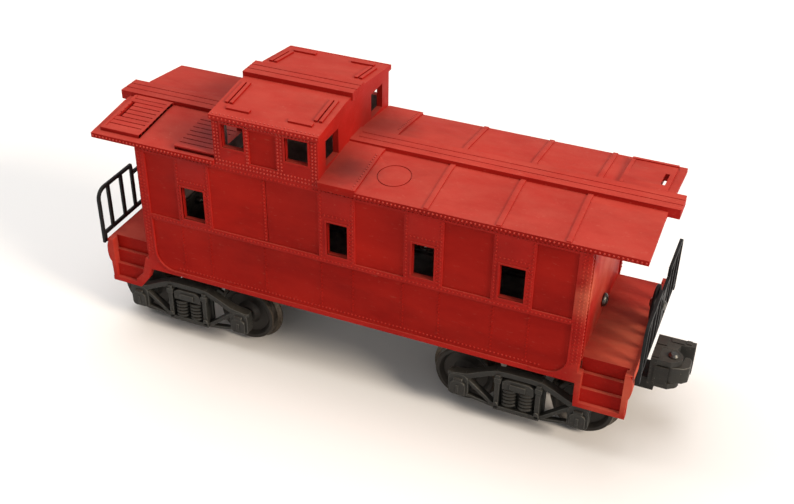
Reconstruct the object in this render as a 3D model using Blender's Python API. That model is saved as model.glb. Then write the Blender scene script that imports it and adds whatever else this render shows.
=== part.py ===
"""A model railway caboose: moulded body shell, stamped underframe, two swivelling four-wheel trucks, one knuckle
coupler, a lamp in the cabin and its roller pickup.

All named sizes are in millimetres. The car frame has +X towards the coupler end, +Y towards the car's left side
and +Z up, with Z = 0 at the bottom of the wheel flanges and X = 0 at the middle of the body. A truck's own frame
has its origin below its pivot and +X towards its end of the car.
"""

import math

import bmesh
import bpy
from mathutils import Matrix, Vector

MM = 0.001
GAP = 0.3                     # clearance between two pieces that touch
RUN_GAP = 0.3                 # radial clearance round a turning shaft

# Body shell: overall sizes
BODY_LENGTH = 150.2
BODY_WIDTH = 54.0
LAYOUT_LENGTH = 150.2         # the body length on which the places along it are laid out; they stretch with it
LAYOUT_WIDTH = 54.0           # the same across it
SILL_Z = 27.0
WALL_HEIGHT = 48.0
WALL = 2.0
ROOF_OVERHANG = 15.8          # past each end wall
EAVE_OVERHANG = 0.8           # past each side wall
ROOF_THICKNESS = 1.7
ROOF_RISE = 2.5
RIDGE_HALF = 8.0              # half the width of the roof's flat crown
RUNNING_BOARD_WIDTH = 8.8
RUNNING_BOARD_HEIGHT = 1.5    # above the crown
RUNNING_BOARD_OVERHANG = 3.5  # past each roof end
BOARD_HEIGHT = 0.9            # raised planking on the roof's slopes
END_BOARD_LENGTH = 14.5       # at two corners of the roof
END_BOARD_INSET = 2.4         # from the roof's end edge
BOARD_EAVE_INSET = 1.4        # from the side wall to the planking's outer edge
LADDER_SLOT = (1.4, 9.0)
LADDER_SLOT_INSET = (2.2, 13.6)   # its middle, from the end boards' outer edge and from the side wall
HATCH_BOARD_LENGTH = 14.6     # against the cupola's rear wall, on the right
HATCH_BOARD_REACH = 18.6      # from the side wall inwards
SEAMS = (25.0, 47.4, 68.1)    # roof seam strips
SEAM_WIDTH = 1.6
SEAM_HEIGHT = 0.45
SADDLE_LENGTH = 12.3          # raised roof beside the cupola
SADDLE_HEIGHT = 0.8
PANEL_DEPTH = 0.45
BELT_HEIGHT = 21.5            # panel break above the sill
PANEL_MARGIN = 1.6            # from the belt and the eave to a panel's edge
PANELS = ((-72.0, -61.0), (-48.5, -10.3), (2.0, 18.2), (30.8, 46.3), (59.1, 71.5))
WINDOWS = ((-59.2, -51.0), (-7.5, -0.5), (20.9, 28.1), (48.6, 56.5))
WINDOW_SILL = 24.5            # above the body sill
WINDOW_HEIGHT = 12.0

# Cupola
CUPOLA_START = -45.7          # its rear wall
CUPOLA_LENGTH = 35.9
CUPOLA_HEIGHT = 16.0          # above the body's wall top
CUPOLA_EAVE = 0.6
CUPOLA_BOARD_HEIGHT = 1.6
CUPOLA_WINDOW_SILL = 6.8
CUPOLA_WINDOW_HEIGHT = 8.1
CUPOLA_WINDOWS = (3.2, 24.9)  # from the cupola's rear wall to each side window
CUPOLA_WINDOW_WIDTH = 7.7
CUPOLA_END_WINDOW = (5.4, 14.5)   # its two edges, from the side wall inwards
CUPOLA_END_SILL = 4.8
CUPOLA_END_HEIGHT = 8.6

# End platforms, steps and railings
PORCH_LENGTH = 16.4
PORCH_HEIGHT = 8.0            # platform top above the body sill
PORCH_THICKNESS = 1.8
END_BEAM_DEPTH = 5.0
END_BEAM_THICKNESS = 1.6
STEP_COUNT = 3
STEP_RISE = 5.1
STEP_RUN = 1.2
STEP_SHEET = 1.3
STEP_PLATE = 1.4
STEP_PLATE_DROP = 1.7         # below the lowest tread
STEP_BULGE = 1.3              # the outer plates swell by this near the top
STEP_BULGE_HEIGHT = 8.8
STEP_BULGE_DROP = 5.0         # the swelling's middle, below the platform
STEP_FLARE = 4.9              # the plain end's inner plates lean out to clear the truck
RAILING_HEIGHT = 18.5         # above the platform
RAILING_THICKNESS = 1.0
RAILING_STANDOFF = 1.2        # from the end beam, clear of the step plates' bulge
RAILING_FOOT = 2.4            # the foot tabs reach this far below the platform
RAILING_BAR = 1.3
RAILING_CORNER = 4.0
RAILING_POSTS = (20.5, 13.0, 7.2)   # laid out across the body's width
PIN_PLATE_WIDTH = 5.2         # the upright plate in the middle of the railing
RAILING_DIP = 3.2             # the top bar drops by this between the inner posts
BRAKE_WHEEL_RADIUS = 6.2
BRAKE_WHEEL_THICKNESS = 1.1
BRAKE_RIM_WIDTH = 1.3
BRAKE_SPOKE_WIDTH = 1.2
BRAKE_HUB_RADIUS = 1.9
BRAKE_PIN_RADIUS = 0.9
BRAKE_WHEEL_HEIGHT = 8.6      # pin above the platform

# Underframe and what it carries
FRAME_THICKNESS = 1.2
FRAME_TAB_WIDTH = 12.0
FRAME_TAB_HEIGHT = 16.0
FRAME_RIB = (8.6, 10.0)       # its two edges, from the side wall inwards
SCREW_HEIGHT = 13.3           # above the body sill
SCREW_SHANK_RADIUS = 1.2
SCREW_HEAD_RADIUS = 2.3
SCREW_HEAD_HEIGHT = 1.6
LAMP_SETBACK = 21.0           # from the front truck's pivot to the lamp's bracket
LAMP_HEIGHT = 22.0            # lamp centre above the body sill
SOCKET_RADIUS = 5.2
SOCKET_LENGTH = 9.0
BULB_BASE_RADIUS = 3.9
BULB_RADIUS = 5.6
LAMP_BRACKET_WIDTH = 13.0
LAMP_BRACKET_SHEET = 1.0
LAMP_FOOT_LENGTH = 12.0
CONTACT_RADIUS = 1.8

# Trucks
FRONT_TRUCK_INSET = 18.1      # from the coupler-end wall to the truck's pivot
REAR_TRUCK_INSET = 12.6       # from the plain-end wall
WHEELBASE = 39.5
FLANGE_RADIUS = 11.8
TREAD_RADIUS = 10.3
WHEEL_BACK = 14.4             # half the distance between wheel backs
WHEEL_WIDTH = 4.7
FLANGE_WIDTH = 1.3
AXLE_RADIUS = 1.25
SIDE_FRAME_INNER = 21.6
SIDE_FRAME_THICKNESS = 3.4
JOURNAL_DEPTH = 1.3           # journal and spring boxes stand proud of the side frame
JOURNAL_WIDTH = 7.0
SPRING_BOX_WIDTH = 12.0
SPRING_BOX_BOTTOM = 6.6
SPRING_BOX_HEIGHT = 11.6
BOLSTER_SHARE = 12.0 / 39.5   # the bolster's length as a share of the wheelbase, so that it clears the wheels
BOLSTER_BOTTOM = 15.6
BOLSTER_THICKNESS = 4.0
PIVOT_RADIUS = 2.0
PIVOT_BOSS_RADIUS = 5.6
CLIP_RADIUS = 4.2
CLIP_THICKNESS = 0.8

# Coupler, on the front truck
COUPLER_REACH = 48.5          # truck pivot to the head's outer face
COUPLER_HEAD_LENGTH = 12.0
COUPLER_HEAD_WIDTH = 13.0
COUPLER_HEAD_BOTTOM = 16.6
COUPLER_HEAD_HEIGHT = 11.0
SHANK_WIDTH = 9.0
KNUCKLE_PIN_RADIUS = 1.0
KNUCKLE_OUTER_RADIUS = 3.2
KNUCKLE_EAR = 2.2
ARMATURE_WIDTH = 11.0
ARMATURE_THICKNESS = 0.8
ARMATURE_HEIGHT = 3.4         # plate's underside above the flange bottoms
ARMATURE_PIN_RADIUS = 0.6
ARMATURE_HINGE_SETBACK = 6.0  # from the outer axle's surface
ARMATURE_HINGE_HEIGHT = 10.2
ARMATURE_LUG_WIDTH = 4.0

# Roller pickup, under the rear truck
PICKUP_PLATE_THICKNESS = 1.2
PICKUP_PLATE_WIDTH = 12.0
PICKUP_PLATE_LENGTH = 18.0
PICKUP_HINGE_X = 7.5
PICKUP_HINGE_DROP = 1.5       # below the plate
PICKUP_ROD_RADIUS = 0.8
PICKUP_ARM_LENGTH = 13.0
PICKUP_ARM_WIDTH = 13.0
PICKUP_STRIP = 1.0
ROLLER_RADIUS = 3.4
ROLLER_LENGTH = 9.6
ROLLER_PIN_RADIUS = 0.8
ROLLER_BOTTOM = 0.9           # above the flange bottoms, with the arm at rest

WHEEL_SEGMENTS = 24
PAST = 5.0                    # how far a cutter runs beyond what it cuts
SHAFT_SEGMENTS = 12

# Places that follow from the sizes above
HALF_LENGTH = BODY_LENGTH / 2
HALF_WIDTH = BODY_WIDTH / 2
STRETCH_X = BODY_LENGTH / LAYOUT_LENGTH
STRETCH_Y = BODY_WIDTH / LAYOUT_WIDTH
FRONT_TRUCK_X = HALF_LENGTH - FRONT_TRUCK_INSET
REAR_TRUCK_X = REAR_TRUCK_INSET - HALF_LENGTH
LAMP_X = FRONT_TRUCK_X - LAMP_SETBACK
BELT_Z = SILL_Z + BELT_HEIGHT
WALL_TOP = SILL_Z + WALL_HEIGHT
EAVE_TOP = WALL_TOP + ROOF_THICKNESS
CROWN_Z = EAVE_TOP + ROOF_RISE
ROOF_END = HALF_LENGTH + ROOF_OVERHANG
ROOF_HALF = HALF_WIDTH + EAVE_OVERHANG
BOARD_END = ROOF_END + RUNNING_BOARD_OVERHANG
BOARD_TOP = CROWN_Z + RUNNING_BOARD_HEIGHT
CUPOLA_REAR = CUPOLA_START * STRETCH_X
CUPOLA_FRONT = CUPOLA_REAR + CUPOLA_LENGTH
ROOF_SLOPE = ROOF_RISE / (ROOF_HALF - RIDGE_HALF)
CUPOLA_TOP = WALL_TOP + CUPOLA_HEIGHT
PORCH_END = HALF_LENGTH + PORCH_LENGTH
PORCH_Z = SILL_Z + PORCH_HEIGHT
STEP_BOTTOM = PORCH_Z - STEP_COUNT * STEP_RISE - STEP_PLATE_DROP
RAILING_X = PORCH_END + RAILING_STANDOFF
FRAME_BOTTOM = SILL_Z + GAP
FRAME_TOP = FRAME_BOTTOM + FRAME_THICKNESS
TAB_FACE = HALF_LENGTH - WALL - GAP
SCREW_Z = SILL_Z + SCREW_HEIGHT
LAMP_Z = SILL_Z + LAMP_HEIGHT
AXLE_Z = FLANGE_RADIUS
BOLSTER_TOP = BOLSTER_BOTTOM + BOLSTER_THICKNESS
BOLSTER_LENGTH = WHEELBASE * BOLSTER_SHARE
COUPLER_X = FRONT_TRUCK_X + COUPLER_REACH
ORIGIN_X = (BOARD_END - COUPLER_X) / 2

AXES = {"X": (1, 2, 0), "Y": (2, 0, 1), "Z": (0, 1, 2)}


def clear_scene():
    for thing in list(bpy.data.objects):
        bpy.data.objects.remove(thing, do_unlink=True)


def finish(name, colour, roughness, metallic=0.0):
    """A Principled material with the piece's colour, roughness and metallic value."""
    made = bpy.data.materials.new(name)
    made.use_nodes = True
    shader = made.node_tree.nodes["Principled BSDF"]
    shader.inputs["Base Color"].default_value = (*colour, 1.0)
    shader.inputs["Roughness"].default_value = roughness
    shader.inputs["Metallic"].default_value = metallic
    made.diffuse_color = (*colour, 1.0)
    return made


def empty(name, place, parent=None, turn=0.0):
    """An empty at a place in its parent's frame, turned about Z."""
    made = bpy.data.objects.new(name, None)
    made.empty_display_size = 5 * MM
    made.location = Vector(place) * MM
    made.rotation_euler = (0.0, 0.0, turn)
    made.parent = parent
    bpy.context.scene.collection.objects.link(made)
    return made


def oriented(axis, along, across, up):
    """A point from its distance along an axis and its two coordinates across it, in cyclic order."""
    spot = [0.0, 0.0, 0.0]
    first, second, third = AXES[axis]
    spot[first] = across
    spot[second] = up
    spot[third] = along
    return spot


def block(work, x, y, z):
    """A box between two values on each axis."""
    matrix = Matrix.LocRotScale(
        ((x[0] + x[1]) / 2, (y[0] + y[1]) / 2, (z[0] + z[1]) / 2),
        None,
        (abs(x[1] - x[0]), abs(y[1] - y[0]), abs(z[1] - z[0])),
    )
    bmesh.ops.create_cube(work, size=1.0, matrix=matrix)


def prism(work, outline, axis, span):
    """An outline across an axis, extruded over a span of that axis."""
    corners = [work.verts.new(oriented(axis, span[0], across, up)) for across, up in outline]
    face = work.faces.new(corners)
    raised = bmesh.ops.extrude_face_region(work, geom=[face])
    moved = [item for item in raised["geom"] if isinstance(item, bmesh.types.BMVert)]
    bmesh.ops.translate(work, verts=moved, vec=oriented(axis, span[1] - span[0], 0.0, 0.0))


def turned(work, profile, axis, centre, segments=WHEEL_SEGMENTS, bored=False):
    """A profile of (distance along the axis, radius) points turned about the axis; a bored one closes on itself."""
    rings = []
    for along, radius in profile:
        ring = []
        for step in range(segments):
            angle = 2 * math.pi * step / segments
            spot = oriented(axis, along, radius * math.cos(angle), radius * math.sin(angle))
            ring.append(work.verts.new(Vector(spot) + Vector(centre)))
        rings.append(ring)
    pairs = list(zip(rings, rings[1:]))
    if bored:
        pairs.append((rings[-1], rings[0]))
    else:
        work.faces.new(rings[0])
        work.faces.new(rings[-1])
    for low, high in pairs:
        for step in range(segments):
            after = (step + 1) % segments
            work.faces.new((low[step], low[after], high[after], high[step]))


def arc(centre, radius, start, end, steps):
    """Points of an arc in degrees."""
    points = []
    for step in range(steps + 1):
        angle = math.radians(start + (end - start) * step / steps)
        points.append((centre[0] + radius * math.cos(angle), centre[1] + radius * math.sin(angle)))
    return points


def add_object(name, work, parent, origin=(0.0, 0.0, 0.0)):
    """An object from a work mesh in its parent's frame, with its own origin there."""
    bmesh.ops.recalc_face_normals(work, faces=work.faces)
    bmesh.ops.translate(work, verts=work.verts, vec=-Vector(origin))
    bmesh.ops.scale(work, verts=work.verts, vec=(MM, MM, MM))
    mesh = bpy.data.meshes.new(name)
    work.to_mesh(mesh)
    work.free()
    made = bpy.data.objects.new(name, mesh)
    made.location = Vector(origin) * MM
    made.parent = parent
    bpy.context.scene.collection.objects.link(made)
    return made


def piece(name, work, parent, look, origin=(0.0, 0.0, 0.0), smooth=False):
    """A visible sub-part with its material."""
    made = add_object(name, work, parent, origin)
    made.data.materials.append(look)
    if smooth:
        made.data.shade_smooth()
        made.data.set_sharp_from_angle(angle=math.radians(35))
    return made


def shaped(target, work, operation, origin=(0.0, 0.0, 0.0)):
    """Joins or cuts a helper mesh, given in the target's parent frame, to or from the target."""
    helper = add_object(f"{target.name}_{operation.lower()}_{len(target.modifiers)}", work, target.parent, origin)
    helper.hide_render = True
    helper.display_type = "WIRE"
    modifier = target.modifiers.new(operation.title(), "BOOLEAN")
    modifier.operation = operation
    modifier.solver = "EXACT"
    modifier.object = helper


def each_side(maker):
    """A mesh built by one maker for both signs."""
    work = bmesh.new()
    for side in (-1, 1):
        maker(work, side)
    return work


def each_corner(maker):
    """A mesh built by one maker for both ends and both sides."""
    work = bmesh.new()
    for end in (-1, 1):
        for side in (-1, 1):
            maker(work, end, side)
    return work


def ordered(low, high):
    return (min(low, high), max(low, high))


def gable(half, low, rise, crown, thickness, drop=0.0):
    """A shallow roof section: eaves at +-half, a flat crown, and a parallel underside."""
    top = low + thickness
    return [
        (-half, low),
        (-crown, low + rise - drop),
        (crown, low + rise - drop),
        (half, low),
        (half, top),
        (crown, top + rise),
        (-crown, top + rise),
        (-half, top),
    ]


# ---------------------------------------------------------------- body shell


def planking(work, inner, outer, span, side):
    """A raised slab that follows one slope of the main roof, between two distances from the middle."""
    ring = []
    for across, rise in ((inner, -1.0), (outer, -1.0), (outer, BOARD_HEIGHT), (inner, BOARD_HEIGHT)):
        ring.append((side * across, CROWN_Z - max(0.0, across - RIDGE_HALF) * ROOF_SLOPE + rise))
    if inner < RIDGE_HALF:
        ring.insert(1, (side * RIDGE_HALF, CROWN_Z - 1.0))
        ring.insert(4, (side * RIDGE_HALF, CROWN_Z + BOARD_HEIGHT))
    prism(work, ring, "X", span)


def step_well_edges():
    """Where each tread's nosing lies: (half-width, height), from the platform down."""
    edges = []
    for index in range(STEP_COUNT + 1):
        inset = (STEP_COUNT - index) * STEP_RUN
        edges.append((HALF_WIDTH - inset, PORCH_Z - index * STEP_RISE))
    return edges


def add_stairs(work, end, side):
    """The folded sheet of treads and risers in one corner."""
    edges = step_well_edges()
    outline = [(edges[0][0] - STEP_SHEET, PORCH_Z)]
    for (reach, height), (next_reach, next_height) in zip(edges, edges[1:]):
        outline += [(reach, height), (reach, next_height), (next_reach, next_height)]
    outline.append((HALF_WIDTH, STEP_BOTTOM))
    outline.append((edges[-2][0] - STEP_SHEET, STEP_BOTTOM))
    outline.append((edges[-2][0] - STEP_SHEET, edges[2][1] - STEP_SHEET))
    outline.append((edges[0][0] - STEP_SHEET, edges[1][1] - STEP_SHEET))
    tidy = [point for index, point in enumerate(outline) if point != outline[index - 1]]
    points = [(side * across, up) for across, up in tidy]
    prism(work, points, "X", ordered(end * (HALF_LENGTH + 0.5), end * (PORCH_END - 0.5)))


def flared_edge(flare):
    """The inner plate's edge on the truck side, from the sill down: (distance from the middle, height)."""
    edge = HALF_LENGTH - 0.4
    return [(edge, SILL_Z), (edge + flare * 0.35, SILL_Z - 4.5), (HALF_LENGTH + flare - 0.2, STEP_BOTTOM)]


def add_truck_clearance(work, side):
    """What the plain end's stairs lose to the truck, up to the flared edge."""
    outline = [(HALF_LENGTH - 12.0, SILL_Z), *flared_edge(STEP_FLARE)]
    outline[1:] = [(across + 0.5, up) for across, up in outline[1:]]
    outline += [(HALF_LENGTH + STEP_FLARE, STEP_BOTTOM - 2.0), (HALF_LENGTH - 12.0, STEP_BOTTOM - 2.0)]
    across_y = ordered(side * (HALF_WIDTH - 6.0), side * (HALF_WIDTH + 1.0))
    prism(work, [(up, -across) for across, up in outline], "Y", across_y)


def add_step_plates(work, end, side):
    """The inner and outer side plates of one corner's steps."""
    edges = step_well_edges()
    inner_y = edges[-2][0] - STEP_SHEET - 0.2
    span = ordered(side * inner_y, side * HALF_WIDTH)
    outer = PORCH_END - 0.8
    swell_z = PORCH_Z - STEP_BULGE_DROP
    bulge = []
    for across, up in arc((0.0, 0.0), 1.0, 80, -80, 6):
        bulge.append((outer + across * STEP_BULGE, swell_z + up * STEP_BULGE_HEIGHT / 2))
    outline = [(outer - STEP_PLATE, STEP_BOTTOM), (outer - STEP_PLATE, PORCH_Z), (outer, PORCH_Z)]
    outline += bulge + [(outer, STEP_BOTTOM)]
    prism(work, [(up, end * across) for across, up in outline], "Y", span)
    flare = STEP_FLARE if end < 0 else 0.0
    foot = HALF_LENGTH + flare
    inner = [(HALF_LENGTH - 0.4, SILL_Z + 4.0), *flared_edge(flare)]
    inner += [(foot + STEP_PLATE, STEP_BOTTOM), (foot + STEP_PLATE, SILL_Z - 6.0)]
    inner.append((HALF_LENGTH + STEP_PLATE + flare * 0.4, SILL_Z - 3.0))
    inner.append((HALF_LENGTH + STEP_PLATE, SILL_Z + 4.0))
    prism(work, [(up, end * across) for across, up in inner], "Y", span)


def body_shell(root, look):
    """The one-piece moulding: walls, roof, cupola, platforms and steps, hollow and open below."""
    walls = bmesh.new()
    block(walls, (-HALF_LENGTH, HALF_LENGTH), (-HALF_WIDTH, HALF_WIDTH), (SILL_Z, WALL_TOP + 0.5))
    shell = piece("body_shell", walls, root, look)

    roof = bmesh.new()
    prism(roof, gable(ROOF_HALF, WALL_TOP, ROOF_RISE, RIDGE_HALF, ROOF_THICKNESS), "X", (-ROOF_END, ROOF_END))
    shaped(shell, roof, "UNION")

    cupola = bmesh.new()
    block(cupola, (CUPOLA_REAR, CUPOLA_FRONT), (-HALF_WIDTH, HALF_WIDTH), (WALL_TOP - 1.0, CUPOLA_TOP + 0.3))
    shaped(shell, cupola, "UNION")
    cupola_roof = bmesh.new()
    eave_y = HALF_WIDTH + CUPOLA_EAVE
    section = gable(eave_y, CUPOLA_TOP, ROOF_RISE, RIDGE_HALF, ROOF_THICKNESS, drop=ROOF_RISE)
    span = (CUPOLA_REAR - CUPOLA_EAVE, CUPOLA_FRONT + CUPOLA_EAVE)
    prism(cupola_roof, section, "X", span)
    shaped(shell, cupola_roof, "UNION")

    half_board = RUNNING_BOARD_WIDTH / 2
    boards = bmesh.new()
    board_low = CROWN_Z - ROOF_THICKNESS
    block(boards, (-BOARD_END, CUPOLA_REAR + 1.0), (-half_board, half_board), (board_low, BOARD_TOP))
    block(boards, (CUPOLA_FRONT - 1.0, BOARD_END), (-half_board, half_board), (board_low, BOARD_TOP))
    crown = CUPOLA_TOP + ROOF_THICKNESS + ROOF_RISE
    crown_z = (crown - 1.0, crown + CUPOLA_BOARD_HEIGHT)
    block(boards, (span[0] - 0.6, span[1] + 0.6), (-half_board, half_board), crown_z)
    shaped(shell, boards, "UNION")

    raised = bmesh.new()
    seam_thickness = ROOF_THICKNESS + SEAM_HEIGHT - 0.5
    strip = gable(ROOF_HALF - 0.2, WALL_TOP + 0.5, ROOF_RISE, RIDGE_HALF, seam_thickness)
    for seam in SEAMS:
        middle = seam * STRETCH_X
        prism(raised, strip, "X", (middle - SEAM_WIDTH / 2, middle + SEAM_WIDTH / 2))
    saddle = gable(ROOF_HALF, WALL_TOP + 0.4, ROOF_RISE, RIDGE_HALF, ROOF_THICKNESS + SADDLE_HEIGHT - 0.4)
    prism(raised, saddle, "X", (CUPOLA_FRONT - 0.8, CUPOLA_FRONT + SADDLE_LENGTH))
    shaped(shell, raised, "UNION")

    boards = bmesh.new()
    outer_y = HALF_WIDTH - BOARD_EAVE_INSET
    reach = ROOF_END - END_BOARD_INSET
    for end in (-1, 1):
        end_x = ordered(end * (reach - END_BOARD_LENGTH), end * reach)
        planking(boards, half_board - 0.4, outer_y, end_x, end)
    hatch_x = (CUPOLA_REAR - HATCH_BOARD_LENGTH, CUPOLA_REAR + 0.6)
    planking(boards, HALF_WIDTH - HATCH_BOARD_REACH, HALF_WIDTH - 0.5, hatch_x, -1)
    shaped(shell, boards, "UNION")

    eaves = each_side(
        lambda work, side: block(
            work,
            (CUPOLA_REAR, CUPOLA_FRONT),
            ordered(side * HALF_WIDTH, side * (HALF_WIDTH + 3.0)),
            (WALL_TOP - 0.5, EAVE_TOP + SADDLE_HEIGHT + 1.0),
        )
    )
    shaped(shell, eaves, "DIFFERENCE")

    cavity = bmesh.new()
    inside_x = (WALL - HALF_LENGTH, HALF_LENGTH - WALL)
    inside_y = (WALL - HALF_WIDTH, HALF_WIDTH - WALL)
    block(cavity, inside_x, inside_y, (SILL_Z - 5.0, WALL_TOP))
    shaped(shell, cavity, "DIFFERENCE")
    upper = bmesh.new()
    block(upper, (CUPOLA_REAR + WALL, CUPOLA_FRONT - WALL), inside_y, (WALL_TOP - 5.0, CUPOLA_TOP))
    shaped(shell, upper, "DIFFERENCE")

    openings = bmesh.new()
    window_z = (SILL_Z + WINDOW_SILL, SILL_Z + WINDOW_SILL + WINDOW_HEIGHT)
    for start, end in WINDOWS:
        span_x = (start * STRETCH_X, end * STRETCH_X)
        block(openings, span_x, (-HALF_WIDTH - 5.0, HALF_WIDTH + 5.0), window_z)
    lookout_z = (WALL_TOP + CUPOLA_WINDOW_SILL, WALL_TOP + CUPOLA_WINDOW_SILL + CUPOLA_WINDOW_HEIGHT)
    for start in CUPOLA_WINDOWS:
        low = CUPOLA_REAR + start
        block(openings, (low, low + CUPOLA_WINDOW_WIDTH), (-HALF_WIDTH - 5.0, HALF_WIDTH + 5.0), lookout_z)
    shaped(shell, openings, "DIFFERENCE")
    end_z = (WALL_TOP + CUPOLA_END_SILL, WALL_TOP + CUPOLA_END_SILL + CUPOLA_END_HEIGHT)
    near, far = CUPOLA_END_WINDOW
    lookouts = each_side(
        lambda work, side: block(
            work,
            (CUPOLA_REAR - 5.0, CUPOLA_FRONT + 5.0),
            ordered(side * (HALF_WIDTH - far), side * (HALF_WIDTH - near)),
            end_z,
        )
    )
    shaped(shell, lookouts, "DIFFERENCE")

    def recess(work, side):
        depth = ordered(side * (HALF_WIDTH - PANEL_DEPTH), side * (HALF_WIDTH + 1.0))
        for start, end in PANELS:
            span_x = (start * STRETCH_X, end * STRETCH_X)
            block(work, span_x, depth, (BELT_Z + PANEL_MARGIN, WALL_TOP - PANEL_MARGIN))

    shaped(shell, each_side(recess), "DIFFERENCE")

    slots = bmesh.new()
    half_x, half_y = LADDER_SLOT[0] / 2, LADDER_SLOT[1] / 2
    for end in (-1, 1):
        slot_x = end * (reach - LADDER_SLOT_INSET[0])
        slot_y = end * (HALF_WIDTH - LADDER_SLOT_INSET[1])
        slot_z = (WALL_TOP - 5.0, CROWN_Z + 5.0)
        block(slots, (slot_x - half_x, slot_x + half_x), (slot_y - half_y, slot_y + half_y), slot_z)
        add_screw_hole(slots, end)
    shaped(shell, slots, "DIFFERENCE")

    decks = bmesh.new()
    for end in (-1, 1):
        deck_half = step_well_edges()[0][0] - 0.1
        deck_x = ordered(end * (HALF_LENGTH - 1.0), end * PORCH_END)
        block(decks, deck_x, (-deck_half, deck_half), (PORCH_Z - PORCH_THICKNESS, PORCH_Z))
    shaped(shell, decks, "UNION")
    beams = bmesh.new()
    for end in (-1, 1):
        beam_x = ordered(end * (PORCH_END - END_BEAM_THICKNESS), end * PORCH_END)
        block(beams, beam_x, (0.2 - HALF_WIDTH, HALF_WIDTH - 0.2), (PORCH_Z - END_BEAM_DEPTH, PORCH_Z - 0.05))
    shaped(shell, beams, "UNION")
    shaped(shell, each_corner(add_stairs), "UNION")
    shaped(shell, each_side(add_truck_clearance), "DIFFERENCE")
    shaped(shell, each_corner(add_step_plates), "UNION")
    return shell


# ---------------------------------------------------------------- railings and brake wheel


def railing(name, root, look, end):
    """A stamped end railing: rounded corners, three posts a side, a lower middle bar and the brake wheel's plate."""
    foot = PORCH_Z + 0.4
    top = PORCH_Z + RAILING_HEIGHT
    half = HALF_WIDTH - 0.2
    posts = [post * STRETCH_Y for post in RAILING_POSTS]
    inner = posts[-1] - RAILING_BAR
    corner = RAILING_CORNER
    outline = [(-half, foot), (half, foot)]
    outline += arc((half - corner, top - corner), corner, 0, 90, 5)
    outline += [(posts[-1] - 0.8, top), (inner, top - RAILING_DIP)]
    outline += [(-inner, top - RAILING_DIP), (0.8 - posts[-1], top)]
    outline += arc((corner - half, top - corner), corner, 90, 180, 5)
    span = ordered(end * RAILING_X, end * (RAILING_X + RAILING_THICKNESS))
    plate = bmesh.new()
    prism(plate, outline, "X", span)
    made = piece(name, plate, root, look)

    cut_x = ordered(end * (RAILING_X - 2.0), end * (RAILING_X + 4.0))
    low = foot + RAILING_BAR
    high = top - RAILING_BAR

    def gaps(work, side):
        edges = (half, *posts)
        corner_in = corner - RAILING_BAR
        for index, (outer, post) in enumerate(zip(edges, edges[1:])):
            outer_y = outer - RAILING_BAR
            inner_y = post + RAILING_BAR / 2 if index < len(posts) - 1 else post
            if index == 0:
                ring = [(inner_y, low), (outer_y, low)]
                ring += arc((outer_y - corner_in, high - corner_in), corner_in, 0, 90, 4)
                ring.append((inner_y, high))
            else:
                outer_y = outer - RAILING_BAR / 2
                ring = [(inner_y, low), (outer_y, low), (outer_y, high), (inner_y, high)]
            prism(work, [(side * across, up) for across, up in ring], "X", cut_x)

    shaped(made, each_side(gaps), "DIFFERENCE")
    middle = top - RAILING_DIP - RAILING_BAR

    def middle_gap(work, side):
        across = ordered(side * PIN_PLATE_WIDTH / 2, side * inner)
        block(work, cut_x, across, (low, middle))

    shaped(made, each_side(middle_gap), "DIFFERENCE")
    feet = each_side(
        lambda work, side: block(
            work, span, ordered(side * (half - 1.9), side * half), (PORCH_Z - RAILING_FOOT, foot + 0.5)
        )
    )
    shaped(made, feet, "UNION")
    if end > 0:
        hole = bmesh.new()
        reach = [(cut_x[0], BRAKE_PIN_RADIUS + GAP), (cut_x[1], BRAKE_PIN_RADIUS + GAP)]
        turned(hole, reach, "X", (0.0, 0.0, PORCH_Z + BRAKE_WHEEL_HEIGHT), SHAFT_SEGMENTS)
        shaped(made, hole, "DIFFERENCE")
    return made


def brake_wheel(root, look):
    """The hand brake's spoked wheel and the riveted pin that it turns on, inside the coupler-end railing."""
    height = PORCH_Z + BRAKE_WHEEL_HEIGHT
    back = RAILING_X - GAP - 0.4
    front = back - BRAKE_WHEEL_THICKNESS
    axis = empty("brake_wheel_axis", (back, 0.0, height), root)
    rim = bmesh.new()
    outer = BRAKE_WHEEL_RADIUS
    inner = outer - BRAKE_RIM_WIDTH
    profile = [(front - back, inner), (front - back, outer), (0.0, outer), (0.0, inner)]
    turned(rim, profile, "X", (0.0, 0.0, 0.0), 24, bored=True)
    wheel = piece("brake_wheel", rim, axis, look, smooth=True)
    half_spoke = BRAKE_SPOKE_WIDTH / 2
    for quarter in range(2):
        spoke = bmesh.new()
        block(spoke, (front - back + 0.1, -0.1), (-inner - 0.4, inner + 0.4), (-half_spoke, half_spoke))
        turn = Matrix.Rotation(quarter * math.pi / 2, 3, "X")
        bmesh.ops.rotate(spoke, verts=spoke.verts, cent=(0.0, 0.0, 0.0), matrix=turn)
        shaped(wheel, spoke, "UNION")
    hub = bmesh.new()
    turned(hub, [(front - back - 0.4, BRAKE_HUB_RADIUS), (0.0, BRAKE_HUB_RADIUS)], "X", (0.0, 0.0, 0.0), 16)
    shaped(wheel, hub, "UNION")
    bore = bmesh.new()
    radius = BRAKE_PIN_RADIUS + RUN_GAP
    turned(bore, [(-PAST, radius), (PAST, radius)], "X", (0.0, 0.0, 0.0), 12)
    shaped(wheel, bore, "DIFFERENCE")
    pin = bmesh.new()
    head = front - 0.4 - GAP
    outer = RAILING_X + RAILING_THICKNESS + GAP
    profile = [(head - 0.7, 0.9), (head - 0.4, 1.5), (head, 1.7), (head, BRAKE_PIN_RADIUS)]
    profile += [(outer, BRAKE_PIN_RADIUS), (outer, 1.6), (outer + 0.5, 1.0)]
    turned(pin, profile, "X", (0.0, 0.0, height), SHAFT_SEGMENTS)
    piece("brake_wheel_pin", pin, root, look, smooth=True)


# ---------------------------------------------------------------- underframe and lamp


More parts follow.
